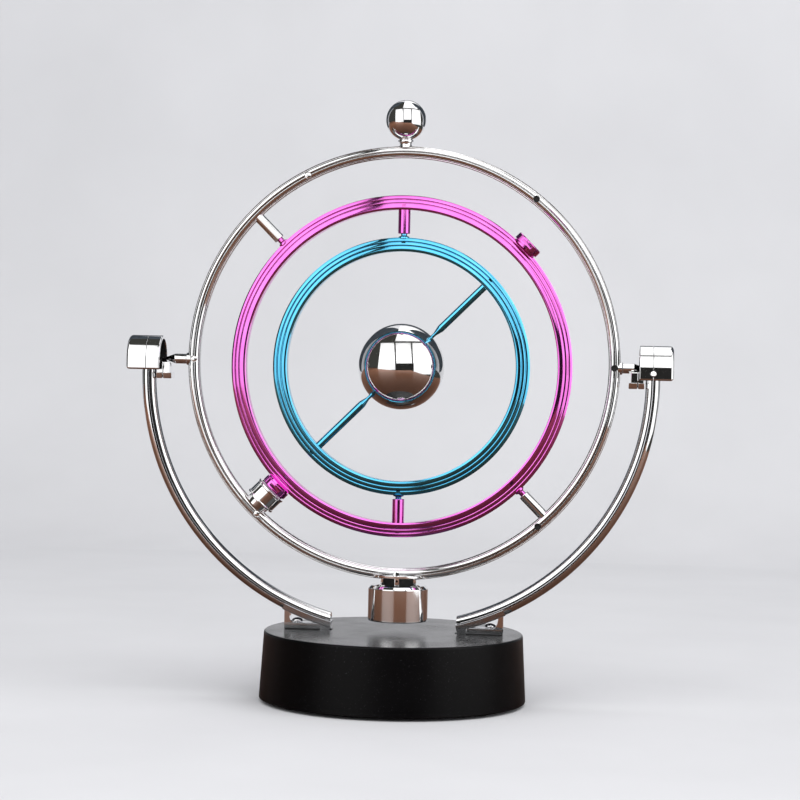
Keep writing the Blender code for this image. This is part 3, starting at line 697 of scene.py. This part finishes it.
def arm_bar(side, section_side):
    """One half of an arm's curved bar, cut off upright at its foot."""
    first, last = -78.0, 1.3
    sweep = upright(revolve(arm_half_section(section_side), 110, first, last - first), side)
    bmesh.ops.recalc_face_normals(sweep, faces=sweep.faces)
    trimmed = bmesh.ops.bisect_plane(
        sweep,
        geom=[*sweep.verts, *sweep.edges, *sweep.faces],
        plane_co=(side * ARM_END_X * MM, 0, 0),
        plane_no=(-side, 0, 0),
        clear_outer=True,
    )
    edges = [e for e in trimmed["geom_cut"] if isinstance(e, bmesh.types.BMEdge)]
    bmesh.ops.edgeloop_fill(sweep, edges=edges)
    return sweep


def arch(half_y, bottom, x, inset=0.0):
    """The bearing cap's outline in the plane at x: straight sides under a half-round top."""
    radius, low, corner = half_y - inset, bottom + inset, 0.7
    points = []
    for start, middle in ((180, -radius + corner), (270, radius - corner)):
        for c, s in arc(4, start, start + 90):
            points.append((x, middle + corner * c, low + corner + corner * s))
    return points + [(x, radius * c, PIVOT + radius * s) for c, s in arc(32, 0, 180)]


def eased_cap(x_from, x_to, fillet_from, fillet_to):
    """The cap's solid between two planes, with a rounded edge of its own size at each end."""
    bend = [(1 - c, 1 - s) for c, s in arc(4, 0, 90)]
    sections = [(x_from + fillet_from * run, fillet_from * inset) for run, inset in bend]
    sections += [(x_to - fillet_to * run, fillet_to * inset) for run, inset in reversed(bend)]
    return loft([arch(CAP_HALF_Y, CAP_BOTTOM, x, inset) for x, inset in sections])


def bearing_cap(side, word):
    """The hollow cap over the axle's end, in two halves that meet at the arm's seam."""
    seam_out, seam_in = ARM_R + HAIRLINE, ARM_R - HAIRLINE
    inside = (CAP_HALF_Y - CAP_WALL, CAP_BOTTOM + CAP_WALL)
    cap = shape(f"{word}_cap_outer", mirrored(eased_cap(seam_out, CAP_OUT, 0.08, 1.3), side), CHROME)
    cut(cap, mirrored(loft([arch(*inside, x) for x in (seam_out - 1, CAP_OUT - CAP_WALL)]), side))
    ride(cap, "base", "chrome")
    cap = shape(f"{word}_cap_inner", mirrored(eased_cap(CAP_IN, seam_in, 0.4, 0.08), side), CHROME)
    hollow = loft([arch(*inside, x) for x in (CAP_IN - 1, seam_in + 1)])
    mouth = block((CAP_IN - 1, -inside[0], CAP_BOTTOM - 1), (CAP_MOUTH, inside[0], PIVOT))
    cut(cap, mirrored(hollow, side), mirrored(mouth, side))
    ride(cap, "base", "chrome")
    # the cap's unlit inside gets a near-black lining: painted shade
    cap_shade_lining(side, word, *inside)


def cap_shade_lining(side, word, half_y, bottom):
    """The cap's inside, lined with a thin near-black sheet of painted shade, open like the cap."""
    gap, thick = 0.04, 0.2
    outer, inner = (half_y - gap, bottom + gap), (half_y - gap - thick, bottom + gap + thick)
    x_from, x_to = CAP_IN + 0.5, CAP_OUT - CAP_WALL - gap
    lining = mirrored(loft([arch(*outer, x) for x in (x_from, x_to)]), side)
    lining = shape(f"{word}_cap_shade_lining", lining, PAINTED_SHADE_BLACK)
    cutters = [loft([arch(*inner, x) for x in (x_from - 1, x_to - thick)])]
    cutters.append(block((x_from - 1, -half_y - 1, bottom - 1), (CAP_MOUTH, half_y + 1, PIVOT)))
    arm_w, arm_d = ARM_HALF_W + 0.3, ARM_HALF_D + 0.3
    cutters.append(block((ARM_R - arm_w, -arm_d, bottom - 1), (ARM_R + arm_w, arm_d, bottom + 1)))
    cut(lining, *[mirrored(c, side) for c in cutters])
    ride(lining, "base", "chrome")


def cap_peg(word):
    """The end of the locating peg on the seam of a cap's front, cut a little askew."""
    outline = rounded([(0, 1.2), (1.15, 1.2), (1.15, -0.2, 0.15), (0, -0.2)])
    stub = turned(revolve(outline, 36), (ARM_R, -CAP_HALF_Y, PIVOT - 1.9), (-98, 0, 0))
    piece(f"{word}_cap_peg", stub, *FIXED)


def pivot_seat(side, word):
    """The axle's seat: two notched blocks on two wider ones, split at a seam, on a core."""
    low, middle, top, notch = PIVOT - 8.0, PIVOT - 5.6, PIVOT - 1.4, PIVOT - 3.4
    split_from, split_to, half_y, inset = 94.85, 95.15, 3.6, 0.12
    outline = [(-half_y, middle - 0.3), (half_y, middle - 0.3), (half_y, top), (2.0, top)]
    outline = rounded([*outline, (0, notch), (-2.0, top), (-half_y, top)], 0.35)
    shells = []
    for x0, x1 in ((92.4, split_from), (split_to, 97.4)):
        ends = ((x0, inset), (x0 + inset, 0), (x1 - inset, 0), (x1, inset))
        loops = [[(x, y * (1 - i / half_y), z - i * (z > middle)) for y, z in outline] for x, i in ends]
        shells.append(loft(loops))
    for x0, x1 in ((91.4, split_from), (split_to, 97.6)):
        lower = block((x0, -4.4, low), (x1, 4.4, middle))
        for v in lower.verts:
            v.co.y *= 1 if v.co.z > (middle - 0.1) * MM else 0.87
        shells.append(eased(lower, 0.3))
    shells.append(block((92.6, -3.0, low + 0.5), (97.2, 3.0, middle + 1.0)))
    seat = joined(*[mirrored(s, side) for s in shells])
    piece(f"{word}_seat", seat, *FIXED, f"{word}_pivot_seat")


def foot(side, word):
    """The arm's foot: a plate over a thin near-black pad of painted shade in the gap beneath it, the
    block at the arm's end and the arm's web.
    """
    half_y = 3.2
    plate = eased(block((29.2, -half_y, PLATE_LOW), (FOOT_OUT, half_y, 30.8)), 0.3)
    end = eased(block((25.45, -2.95, PLATE_LOW - 2.2), (29.4, 2.95, 32.4)), 0.22)
    plate = joined(mirrored(plate, side), mirrored(end, side))
    piece(f"{word}_foot", plate, FROSTED, "base", "chrome")
    # The pad fills the gap under the plate with near-black: painted shade.
    pad_y = half_y - 0.01
    shade_pad = block((29.6, -pad_y, BASE_TOP + 0.02), (FOOT_OUT - 0.1, pad_y, PLATE_LOW - 0.01))
    piece(f"{word}_foot_shade_pad", mirrored(shade_pad, side), PAINTED_SHADE_BLACK, "base", "black_rubber")
    r_in, r_out, half_d = ARM_R + 0.3, ARM_R + 2.95, 3.22
    section = [(r_in, -half_d), (r_out, -half_d), (r_out, half_d), (r_in, half_d)]
    first, last = [-degrees(acos(x / (ARM_R + 2.0))) for x in (ARM_END_X, FOOT_OUT + 0.6)]
    web = upright(revolve(rounded(section, 0.4), 24, first, last - first), side)
    piece(f"{word}_foot_web", web, FROSTED, "base", "chrome")
    foot_wall(side, word)
    foot_screw(side, word)


def foot_wall(side, word):
    """The upright at the foot's outer end, hollowed towards the screw, up to the arm's underside."""
    x, z, wide, tall = 39.4, 35.4, 2.6, 5.0  # the hollow's corner and size
    profile = [(FOOT_OUT, PLATE_LOW + 0.4, 0.2), (FOOT_OUT, 37.6, 0.1), (42.0, 36.4, 0.1)]
    for k in range(7):
        a = radians(90 * k / 6)
        profile.append((x + wide * cos(a) ** 0.8 if k < 6 else x, z - tall * sin(a), 0))
    profile = rounded([*profile, (x, PLATE_LOW + 1.0, 0)], 0.1, 2)
    wall = loft([[(px, y, pz) for px, pz in profile] for y in (-3.15, -2.95, 2.95, 3.15)])
    piece(f"{word}_foot_wall", mirrored(wall, side), *FIXED)


def foot_screw(side, word):
    """A domed screw with a cross recess, whose shank goes down into the base."""
    head, head_r, rim, dome = 31.1, 2.2, 0.35, 1.15
    at = (side * FOOT_SCREW_X, 0, 0)
    outline = [(0, 25.0), (1.0, 25.0), (1.0, head), (head_r - 0.05, head), (head_r, head + rim)]
    outline += [(head_r * c, head + rim + dome * s) for c, s in list(arc(8, 0, 90))[1:]]
    screw = shape(f"{word}_foot_screw_head", revolve(outline, 48), STEEL, at)
    for turn in (30, 120):
        slot = block((-1.25, -0.22, head + 0.75), (1.25, 0.22, head + 3))
        cut(screw, turned(slot, at, (0, 0, turn)))
    ride(screw, "base", "steel", f"{word}_foot_screw")


for side, word in ((-1, "left"), (1, "right")):
    for part, section_side in (("outer", 1), ("inner", -1)):
        node = f"{word}_arm_{part}_half"
        piece(f"{word}_arm_{part}_bar", arm_bar(side, section_side), *FIXED, node)
    bearing_cap(side, word)
    if side > 0:
        cap_peg(word)
    pivot_seat(side, word)
    foot(side, word)


# Rings


def face_heights(lean, width, steps):
    """Heights across a ring's face, 0 at its crown. Lean lists (share of the width from the inner
    edge, sine of the face's outward tilt there)."""
    heights = [0.0]
    for k in range(steps):
        share = (k + 0.5) / steps
        for (start, first), (end, last) in zip(lean, lean[1:]):
            if start <= share <= end:
                sine = first + (last - first) * (share - start) / (end - start)
        heights.append(heights[-1] - width / steps * sine / sqrt(1 - sine * sine))
    crown = max(heights)
    return [h - crown for h in heights]


def bead_outline(size, lean, grooves, bulge, face):
    """Half of a ring's section: a domed face with bulging beads between its grooves, each groove
    (share of the width from the inner edge, half its width, depth)."""
    r_out, width, half_depth = size
    r_in = r_out - width
    steps = 60
    edges = [0.0, *(share for share, _, _ in grooves), 1.0]
    outline = [(r_in, SEAM)]
    for k, height in enumerate(face_heights(lean, width, steps)):
        share = k / steps
        for low, high in zip(edges, edges[1:]):
            if low <= share <= high:
                own = 2 * (share - low) / (high - low) - 1
        height += half_depth - bulge * own * own
        for middle, half_width, depth in grooves:
            away = abs(share - middle) * width / half_width
            height -= depth * max(0.0, 1 - away)
        outline.append((r_in + width * share, height))
    outline.append((r_out, SEAM))
    return [(r, face * h) for r, h in outline]


def ring(material, name, slot, centre, size, section, marks=(), holes=()):
    """A ring's two halves, with small notches at (angle, radius) and round holes at an angle."""
    r_out, width, half_depth = size
    for word, face in (("front", 1), ("back", -1)):
        rim = shape(f"{name}_{word}_rim", revolve(bead_outline(size, *section, face), 220), material)
        cutters = []
        for angle, radius in marks:
            low, high = sorted((face * (half_depth - 1.0), face * (half_depth + 1.0)))
            notch = block((radius - 0.45, -0.8, low), (radius + 0.45, 0.8, high))
            cutters.append(turned(notch, turn=(0, 0, angle)))
        for angle in holes:
            a = radians(angle)
            middle = r_out - width / 2
            bore = rod(PEG_R, face * 0.8, face * (half_depth + 1.0), 28)
            cutters.append(turned(bore, (middle * cos(a), middle * sin(a), 0)))
        ride(placed(cut(rim, *cutters), centre, RING_TURN), name, slot, f"{name}_{word}")


def on_ring(name, outline, angle, *finish, centre=CORE, steps=64, fillet=0.0):
    """A turned piece whose own axis points out from the centre at that angle."""
    outline = rounded(outline, fillet) if fillet else outline
    piece(name, revolve(outline, steps), *finish, at=centre, turn=along(angle))


def pins(name, angles, foot, shoulder, neck, end, *finish):
    """A ring's two axle pins, through corners at (radius, height), the last two with a rounding."""
    outline = [(0, foot[1], 0), (*foot, 0), shoulder, neck, (neck[0], end, 0.25), (0, end, 0)]
    for number, angle in enumerate(angles, 1):
        on_ring(f"{name}_{number}", outline, angle, *finish, fillet=0.1)


def socket(node, angle, radius, end, mouth, bottom, *finish):
    """A tube that stands in from a ring to its mouth, bored for a pin."""
    bore = 1.5
    outline = [(0, bottom, 0), (bore, bottom, 0), (bore, mouth, 0.1), (radius, mouth, 0.3)]
    outline += [(radius, end, 0), (0, end, 0)]
    on_ring(f"{node}_tube", outline, angle, *finish, node, fillet=0.05)


def peg(name, angle, dark):
    """The end of a locating peg, or, in an empty hole, a near-black disc of painted shade at its bottom,
    on both faces of the ring.
    """
    shells = []
    depth, low = OUTER_HALF - (1.3 if dark else 0.45), 0.9
    for turn in (RING_TURN, REAR_TURN):
        # an empty hole's bottom: a disc of painted shade
        if dark:
            outline = [(0, depth), (PEG_R - 0.03, depth), (PEG_R - 0.03, low), (0, low)]
        else:
            outline = [(0, depth + 0.12), (0.7, depth + 0.08, 0.2), (PEG_R - 0.06, depth - 0.1, 0.1)]
            outline += [(PEG_R - 0.06, low), (0, low)]
        shells.append(turned(revolve(rounded(outline), 32), turn=turn))
    a = radians(angle)
    radius = OUTER_R - OUTER_WIDTH / 2
    at = HUB + Vector((radius * cos(a), 0, radius * sin(a)))
    piece(name, joined(*shells), PAINTED_SHADE_BLACK if dark else CHROME, *OUTER[1:], at=at)


def core_offset(angle):
    """How far the core lies from the outer ring's centre, along that angle."""
    a = radians(angle)
    return (CORE.x - HUB.x) * cos(a) + (CORE.z - HUB.z) * sin(a)


def outer_ring():
    """The ring, its pegs and holes, the axle's pins, the middle ring's sockets and what it carries."""
    size = (OUTER_R, OUTER_WIDTH, OUTER_HALF)
    # True marks an empty hole whose bottom is a disc of painted shade
    pegs = [("left", 180, False), ("lower_left", 227, False), ("bottom", 269.6, False)]
    pegs += [("right", 0, True), ("lower_right", 311, True), ("upper_right", 52, True)]
    pegs.append(("upper_left", 118, False))
    lean = [(0, -0.88), (0.56, 0), (1, 0.88)]
    section = (lean, [(0.11, 0.2, 0.16), (0.52, 0.38, 0.3), (0.89, 0.2, 0.16)], 0.16)
    ring(*OUTER, HUB, size, section, holes=[angle for _, angle, _ in pegs])
    for name, angle, dark in pegs:
        peg(f"ring_peg_{name}", angle, dark)
    for word, angle in (("right", 0), ("left", 180)):
        start, collar, tip = OUTER_R - 1, OUTER_R + 0.7, 95.8
        outline = [(0, start, 0), (2.5, start, 0), (2.5, collar, 0.3), (2.0, collar + 0.2, 0.2)]
        outline += [(2.0, 92.0, 0.3), (0.55, tip, 0.3), (0, tip + 0.1, 0)]
        node = f"{word}_axle"
        on_ring(f"{node}_pin", outline, angle, *OUTER, node, centre=HUB, fillet=0.1)
    for word, angle in (("upper_left", DIAGONAL), ("lower_right", DIAGONAL + 180)):
        end = OUTER_R - OUTER_WIDTH + 0.8 - core_offset(angle)
        socket(f"{word}_socket", angle, 2.1, end, 70.7, 72.2, *OUTER)
    top_ball()
    magnet_cup()
    magnet_holder()


def top_ball():
    """The ball on its collared neck, which stands a little off upright."""
    neck, low, top = OUTER_R - 0.5, OUTER_R + 1.7, OUTER_R + 2.5
    outline = [(0, neck), (2.9, neck, 0.1), (2.2, OUTER_R + 0.6, 0.5), (2.5, low, 0.1)]
    outline += [(3.0, low, 0.15), (3.0, top, 0.2), (2.6, top + 0.25), (0, top + 0.25)]
    outline = rounded(outline)[:-1]
    first = -degrees(asin((TOP_BALL_OUT - top - 0.25) / TOP_BALL_R)) + 0.5
    outline += [(TOP_BALL_R * c, TOP_BALL_OUT + TOP_BALL_R * s) for c, s in arc(48, first, 90)]
    on_ring("top_ball_skin", outline, TOP_BALL_ANGLE, *OUTER, "top_ball", centre=HUB, steps=96)


def magnet_cup():
    """The drive magnet's cup, its neck with four ribs, the neck near-black as painted shade, and the disc
    between neck and ring.
    """
    low, top, inner_r = CUP_BOTTOM - PIVOT, CUP_TOP - PIVOT, 10.3
    outline = [(inner_r, low, 0.15), (CUP_R, low, 0.5), (CUP_R, top - 1.1, 0.25), (CUP_R - 1.0, top, 0.2)]
    outline += [(8.9, top + 0.5, 0.3), (7.2, top + 0.5, 0.15), (7.2, top - 0.6), (0, top - 0.6)]
    outline += [(0, low + 9.4), (inner_r, low + 9.4)]
    under, neck_top = (HUB.x, 0, 0), PAD_LOW + 0.2
    piece("drive_cup_skin", revolve(rounded(outline), 128), *OUTER, "drive_magnet_cup", at=HUB)
    piece("cup_pad_disc", rod(PAD_R, PAD_LOW, PAD_LOW + 0.9, 96, 0.1), *OUTER, at=under)
    # The neck, in shadow under the disc, is made near-black: painted shade.
    piece("cup_neck", rod(6.2, CUP_TOP - 0.8, neck_top, 64), PAINTED_SHADE_BLACK, *OUTER[1:], at=under)
    ribs = []
    for quarter in range(4):
        rib = eased(block((-0.95, -7.1, CUP_TOP - 0.7), (0.95, -5.8, neck_top)), 0.25)
        ribs.append(turned(rib, turn=(0, 0, 90 * quarter)))
    ribs = shape("cup_neck_ribs", joined(*ribs), CHROME, under)
    bore = turned(turned(rod(0.5, -9, 9, 20), (0, 0, PAD_LOW - 1.3), RING_TURN), under)
    ride(cut(ribs, bore), *OUTER[1:])
    disc = rod(9.9, low + 0.8, low + 8.8, 64, 0.3)
    piece("drive_magnet_disc", disc, NICKEL, "outer_ring", "magnet", "drive_magnet", at=HUB)


def magnet_holder():
    """The can of the ring magnet, with a bead at each rim, open towards the centre."""
    low, bead_r, wall_r, inner_r = HOLDER_LOW, 6.45, 6.15, 5.3
    outline = [(inner_r, low, 0.1), (bead_r, low, 0.25), (bead_r, low + 0.8, 0.15)]
    outline += [(wall_r, low + 1.05, 0.1), (wall_r, low + 5.7, 0.1), (bead_r, low + 5.95, 0.15)]
    outline += [(bead_r, low + 6.7, 0.25), (5.0, low + 6.7, 0.2), (4.6, OUTER_R - 4.2)]
    outline += [(0, OUTER_R - 4.2), (0, low + 5.5), (inner_r, low + 5.5)]
    place = {"at": HUB, "turn": along(HOLDER_ANGLE)}
    name = "ring_magnet_holder"
    piece(f"{name}_skin", revolve(rounded(outline), 96), *OUTER, name, **place)
    disc = rod(5.0, low + 0.2, low + 5.2, 64, 0.25)
    piece("ring_magnet_disc", disc, NICKEL, "outer_ring", "magnet", "ring_magnet", **place)


def middle_ring():
    """The ring, its pins, its magnet caps with a window each side and the inner ring's sockets."""
    size = (MIDDLE_R, MIDDLE_WIDTH, MIDDLE_HALF)
    lean = [(0, -0.5), (0.19, 0.2), (1, 0.36)]
    section = (lean, [(0.46, 0.26, 0.13), (0.73, 0.26, 0.13)], 0.11)
    marks = [(a, MIDDLE_R - inward) for a in (90, 225, 270, 315) for inward in (4.2, 1.6)]
    ring(*MIDDLE, CORE, size, section, marks)
    foot, shoulder, neck = (2.2, MIDDLE_R - 0.4), (2.0, MIDDLE_R + 0.5, 0.3), (1.2, MIDDLE_R + 0.9, 0.3)
    pins("middle_ring_pin", (DIAGONAL, DIAGONAL + 180), foot, shoulder, neck, 71.9, *MIDDLE)
    low, top = MIDDLE_R - 0.5, MIDDLE_R + 3.2
    outline = [(0, low), (5.0, low), (5.0, MIDDLE_R + 0.3, 0.1), (5.7, MIDDLE_R + 0.35, 0.1)]
    outline = rounded([*outline, (5.7, top - 0.35, 0.12), (5.35, top, 0.12), (0, top)])
    for number, angle in enumerate(MAGNET_ANGLES, 1):
        cap = shape(f"middle_ring_magnet_cap_skin_{number}", revolve(outline, 96), MAGENTA)
        windows = [
            eased(block((-3.1, near, MIDDLE_R + 1.0), (2.2, far, MIDDLE_R + 2.4)), 0.15)
            for near, far in ((-7.0, -5.1), (5.1, 7.0))
        ]
        placed(cut(cap, *windows), CORE, along(angle))
        ride(cap, *MIDDLE[1:], f"middle_ring_magnet_cap_{number}", f"middle_ring_magnet_{number}")
    end = MIDDLE_R - MIDDLE_WIDTH + 0.9
    for word, angle in (("upper", 90), ("lower", 270)):
        socket(f"middle_ring_{word}_socket", angle, 2.4, end, 53.0, 54.6, *MIDDLE)


def inner_ring():
    """The ring, its pins and the spindle of the ball, thinner where it enters the ball."""
    size = (INNER_R, INNER_WIDTH, INNER_HALF)
    lean = [(0, -0.5), (0.2, 0.1), (1, 0.36)]
    section = (lean, [(0.4, 0.24, 0.12), (0.7, 0.24, 0.12)], 0.15)
    ring(*INNER, CORE, size, section, [(a, INNER_R - 1.9) for a in (45, 90, 225, 270)])
    foot, shoulder, neck = (2.3, INNER_R - 0.4), (2.1, INNER_R + 0.35, 0.2), (1.2, INNER_R + 0.7, 0.2)
    pins("inner_ring_pin", (90, 270), foot, shoulder, neck, 54.3, *INNER)
    end, tip, taper = INNER_R - INNER_WIDTH + 0.6, 18.6, 3.2
    outline = [(0, -end), (1.5, -end), (1.5, -tip - taper, 0.3), (0.7, -tip, 0.2), (0.7, tip, 0.2)]
    outline = rounded([*outline, (1.5, tip + taper, 0.3), (1.5, end), (0, end)])
    on_ring("ball_spindle_rod", outline, BALL_ANGLE, *INNER, "ball_spindle")


def centre_ball():
    """Front and back half shells with a hairline seam and the spindle's hole."""
    inner_r = BALL_R - 1.6
    for word, face in (("front", 1), ("back", -1)):
        outline = [(BALL_R * c, face * max(SEAM / 2, BALL_R * s)) for c, s in arc(48, 0, 90)]
        outline += [(inner_r * c, face * max(SEAM / 2, inner_r * s)) for c, s in arc(12, 90, 0)]
        half = shape(f"centre_ball_{word}_shell", revolve(outline, 144), CHROME, CORE, RING_TURN)
        cut(half, turned(rod(1.0, -20, 20, 32), CORE, along(BALL_ANGLE)))
        ride(half, "centre_ball", "chrome", f"centre_ball_{word}")


outer_ring()
middle_ring()
inner_ring()
centre_ball()


# CAD nodes that show as they are


def carried_over():
    """Give the CAD nodes that stay visible their materials."""
    numbered = [(SOFT_BLACK, "rubber_foot"), (STEEL, "cover_screw"), (CELL, "battery")]
    for material, names in (
        (BLACK, "battery_door base_bottom_cover power_switch dc_jack"),
        (BOARD, "circuit_board"),
        (WHITE, "switch_slider coil_bobbin"),
        (COPPER, "coil_winding"),
        (STEEL, "battery_contact_front battery_contact_rear"),
        *[(material, f"{stem}_{number}") for material, stem in numbered for number in (1, 2, 3, 4)],
    ):
        for name in names.split():
            for slot in frame["nodes"][name].material_slots:
                slot.material = material


carried_over()


# Studio


def plain(name, colour, roughness, specular=0.5):
    m = Nodes(name)
    m.vary("Base Color", m.noise(9, 3), 0.3, 0.7, colour, tuple(c * 0.95 for c in colour))
    fill(m.shader, Roughness=roughness, Specular_IOR_Level=specular)
    return m.material


def wood(name):
    """Brown that darkens towards the object, where less of the room lights it."""
    m = Nodes(name)
    away = m.add("ShaderNodeVectorMath", operation="LENGTH")
    m.link(m.place, away.inputs[0])
    near, far = (0.075, 0.036, 0.023), (0.29, 0.135, 0.08)
    m.vary("Base Color", away.outputs["Value"], 0.1, 0.9, near, far)
    fill(m.shader, Roughness=0.4, Specular_IOR_Level=0.06)
    return m.material


def glow(name, middle, reach, radiance):
    """A softbox's cloth, brightest in the middle."""
    m = Nodes(f"{name}_cloth")
    away = m.add("ShaderNodeVectorMath", operation="DISTANCE")
    m.link(m.place, away.inputs[0])
    away.inputs[1].default_value = middle
    m.vary("Emission Strength", away.outputs["Value"], reach * 0.25, reach, radiance, radiance * 0.5)
    fill(m.shader, Base_Color=(0, 0, 0, 1), Emission_Color=(1, 1, 1, 1), Specular_IOR_Level=0.0)
    m.material.cycles.emission_sampling = "NONE"
    return m.material


def floor_and_backdrop():
    """A pale floor that meets a backdrop curving up well behind the object."""
    front_y, wall_y, radius, height, half_x = -1500.0, 950.0, 300.0, 1900.0, 2200.0
    paper = plain("studio_paper", (0.72, 0.72, 0.735), 0.7, 0.0)
    bend = wall_y - radius
    wall = [(bend + radius * s, radius - radius * c) for c, s in arc(16, 0, 90)]
    wall.append((wall_y, height))
    for name, line in (("floor", [(front_y, 0.0), (bend, 0.0)]), ("backdrop", wall)):
        bm = bmesh.new()
        skin(bm, [[(x, y, z) for x in (-half_x, half_x)] for y, z in line])
        sheet = shape(name, bm, paper)
        sheet.visible_glossy = name == "backdrop"


def aim(obj, azimuth, elevation, distance):
    """Point an object at the rings from there. Azimuth 0 is the front, positive to the right."""
    a, e = radians(azimuth), radians(elevation)
    direction = Vector((sin(a) * cos(e), -cos(a) * cos(e), sin(e)))
    obj.location = (Vector((0, 0, 130)) + direction * distance) * MM
    obj.rotation_euler = (-direction).to_track_quat("-Z", "Y").to_euler()


def softbox(name, azimuth, elevation, wide, tall, radiance, distance=1250.0):
    """A rectangular light of that angular width and height in degrees, which nothing mirrors."""
    light = bpy.data.lights.new(name, "AREA")
    light.shape = "RECTANGLE"
    light.size = 2 * distance * tan(radians(wide / 2)) * MM
    light.size_y = 2 * distance * tan(radians(tall / 2)) * MM
    light.energy = radiance * pi * light.size * light.size_y
    obj = added(name, light)
    aim(obj, azimuth, elevation, distance)
    obj.visible_glossy = False
    return obj


def reflected_only(board):
    """Make a stage board that shows in reflections and casts nothing."""
    board.visible_camera = False
    board.visible_diffuse = False
    board.visible_shadow = False


def card(name, azimuth, elevation, wide, tall, colour, distance):
    """A board that only reflections see, of that angular width and height in degrees."""
    x = distance * tan(radians(wide / 2))
    y = distance * tan(radians(tall / 2))
    board = shape(name, block((-x, -y, -1), (x, y, 1)), plain(f"{name}_paint", colour, 0.9))
    aim(board, azimuth, elevation, distance)
    reflected_only(board)


def mirrored_patch(name, low_edge, high_edge, up, distance=1180.0, radiance=2.0, colour=(1, 1, 1)):
    """A board that the centre ball mirrors to the camera as that patch: the left and right ends of
    its lower and upper edge, and its bottom and top, in ball radii from the ball's middle."""
    lens = bpy.context.scene.camera.matrix_world
    eye = (lens.translation / MM - CORE).normalized()
    steps = 14
    rows = []
    for i in range(steps + 1):
        v = up[0] + (up[1] - up[0]) * i / steps
        row = []
        for j in range(steps + 1):
            left, right = [low + (high - low) * i / steps for low, high in zip(low_edge, high_edge)]
            u = left + (right - left) * j / steps
            out = min(1.0, 0.985 / hypot(u, v))  # stays on the ball
            normal = Vector((u * out, v * out, sqrt(1 - (u * u + v * v) * out * out)))
            normal = lens.to_3x3() @ normal
            ray = 2 * normal.dot(eye) * normal - eye
            row.append(CORE + ray * distance)
        rows.append(row)
    bm = bmesh.new()
    rows = skin(bm, rows)
    if radiance:
        middle = rows[steps // 2][steps // 2].co.copy()
        paint = glow(name, middle, (rows[0][0].co - middle).length, radiance)
    else:
        paint = plain(f"{name}_paint", colour, 0.9, 0.0)
    reflected_only(shape(name, bm, paint))


def surroundings():
    """Pale all round, but a dark room for the plating to mirror."""
    world = bpy.data.worlds.new("world")
    bpy.context.scene.world = world
    world.use_nodes = True
    tree = world.node_tree
    pale, room = tree.nodes["Background"], tree.nodes.new("ShaderNodeBackground")
    fill(pale, Color=(0.60, 0.61, 0.64, 1), Strength=0.5)
    fill(room, Color=(0.05, 0.05, 0.045, 1))
    mix = tree.nodes.new("ShaderNodeMixShader")
    path = tree.nodes.new("ShaderNodeLightPath")
    tree.links.new(path.outputs["Is Glossy Ray"], mix.inputs["Fac"])
    tree.links.new(pale.outputs["Background"], mix.inputs[1])
    tree.links.new(room.outputs["Background"], mix.inputs[2])
    tree.links.new(mix.outputs["Shader"], tree.nodes["World Output"].inputs["Surface"])


def studio():
    floor_and_backdrop()
    for name, *numbers in (  # azimuth, elevation, width, height in degrees, radiance
        ("left_key", -40, 27, 52, 58, 1.35),
        ("front_key", 9, 37, 38, 46, 1.25),
        ("right_key", 58, 30, 56, 76, 1.4),
        ("top_key", 25, 74, 60, 26, 1.2),
    ):
        softbox(name, *numbers)
    wash = softbox("wall_wash", 0, 20, 50, 50, 2.2, 900)
    placed(wash, (0, 250, 1500), (60, 0, 0))
    for name, *edges in (  # lower edge, upper edge, bottom and top
        ("left_window", (-0.54, -0.135), (-0.47, -0.165), (-0.09, 0.53)),
        ("front_window", (-0.112, 0.252), (-0.125, 0.215), (-0.02, 0.53)),
        ("right_window", (0.285, 0.76), (0.255, 0.62), (-0.19, 0.53)),
        ("ceiling_window", (-0.14, 0.5), (-0.03, 0.4), (0.57, 0.93)),
    ):
        mirrored_patch(name, *edges)
    flag = (-0.13, 0.285)  # the dark place where the camera stands
    mirrored_patch("camera_flag", flag, flag, (-0.1, 0.058), 600, 0, (0.035, 0.034, 0.032))
    table = block((-2200, -770, 0.01), (430, 900, 0.02))
    reflected_only(shape("table_card", table, wood("table_card_paint")))
    for name, azimuth in (("left_wing", -141), ("right_wing", 141)):
        card(name, azimuth, 28, 30, 70, (0.04, 0.05, 0.06), 900)
    card("top_wing", 180, 25, 90, 18, (0.05, 0.06, 0.07), 880)
    surroundings()
    bpy.context.scene.view_settings.view_transform = "Standard"


studio()
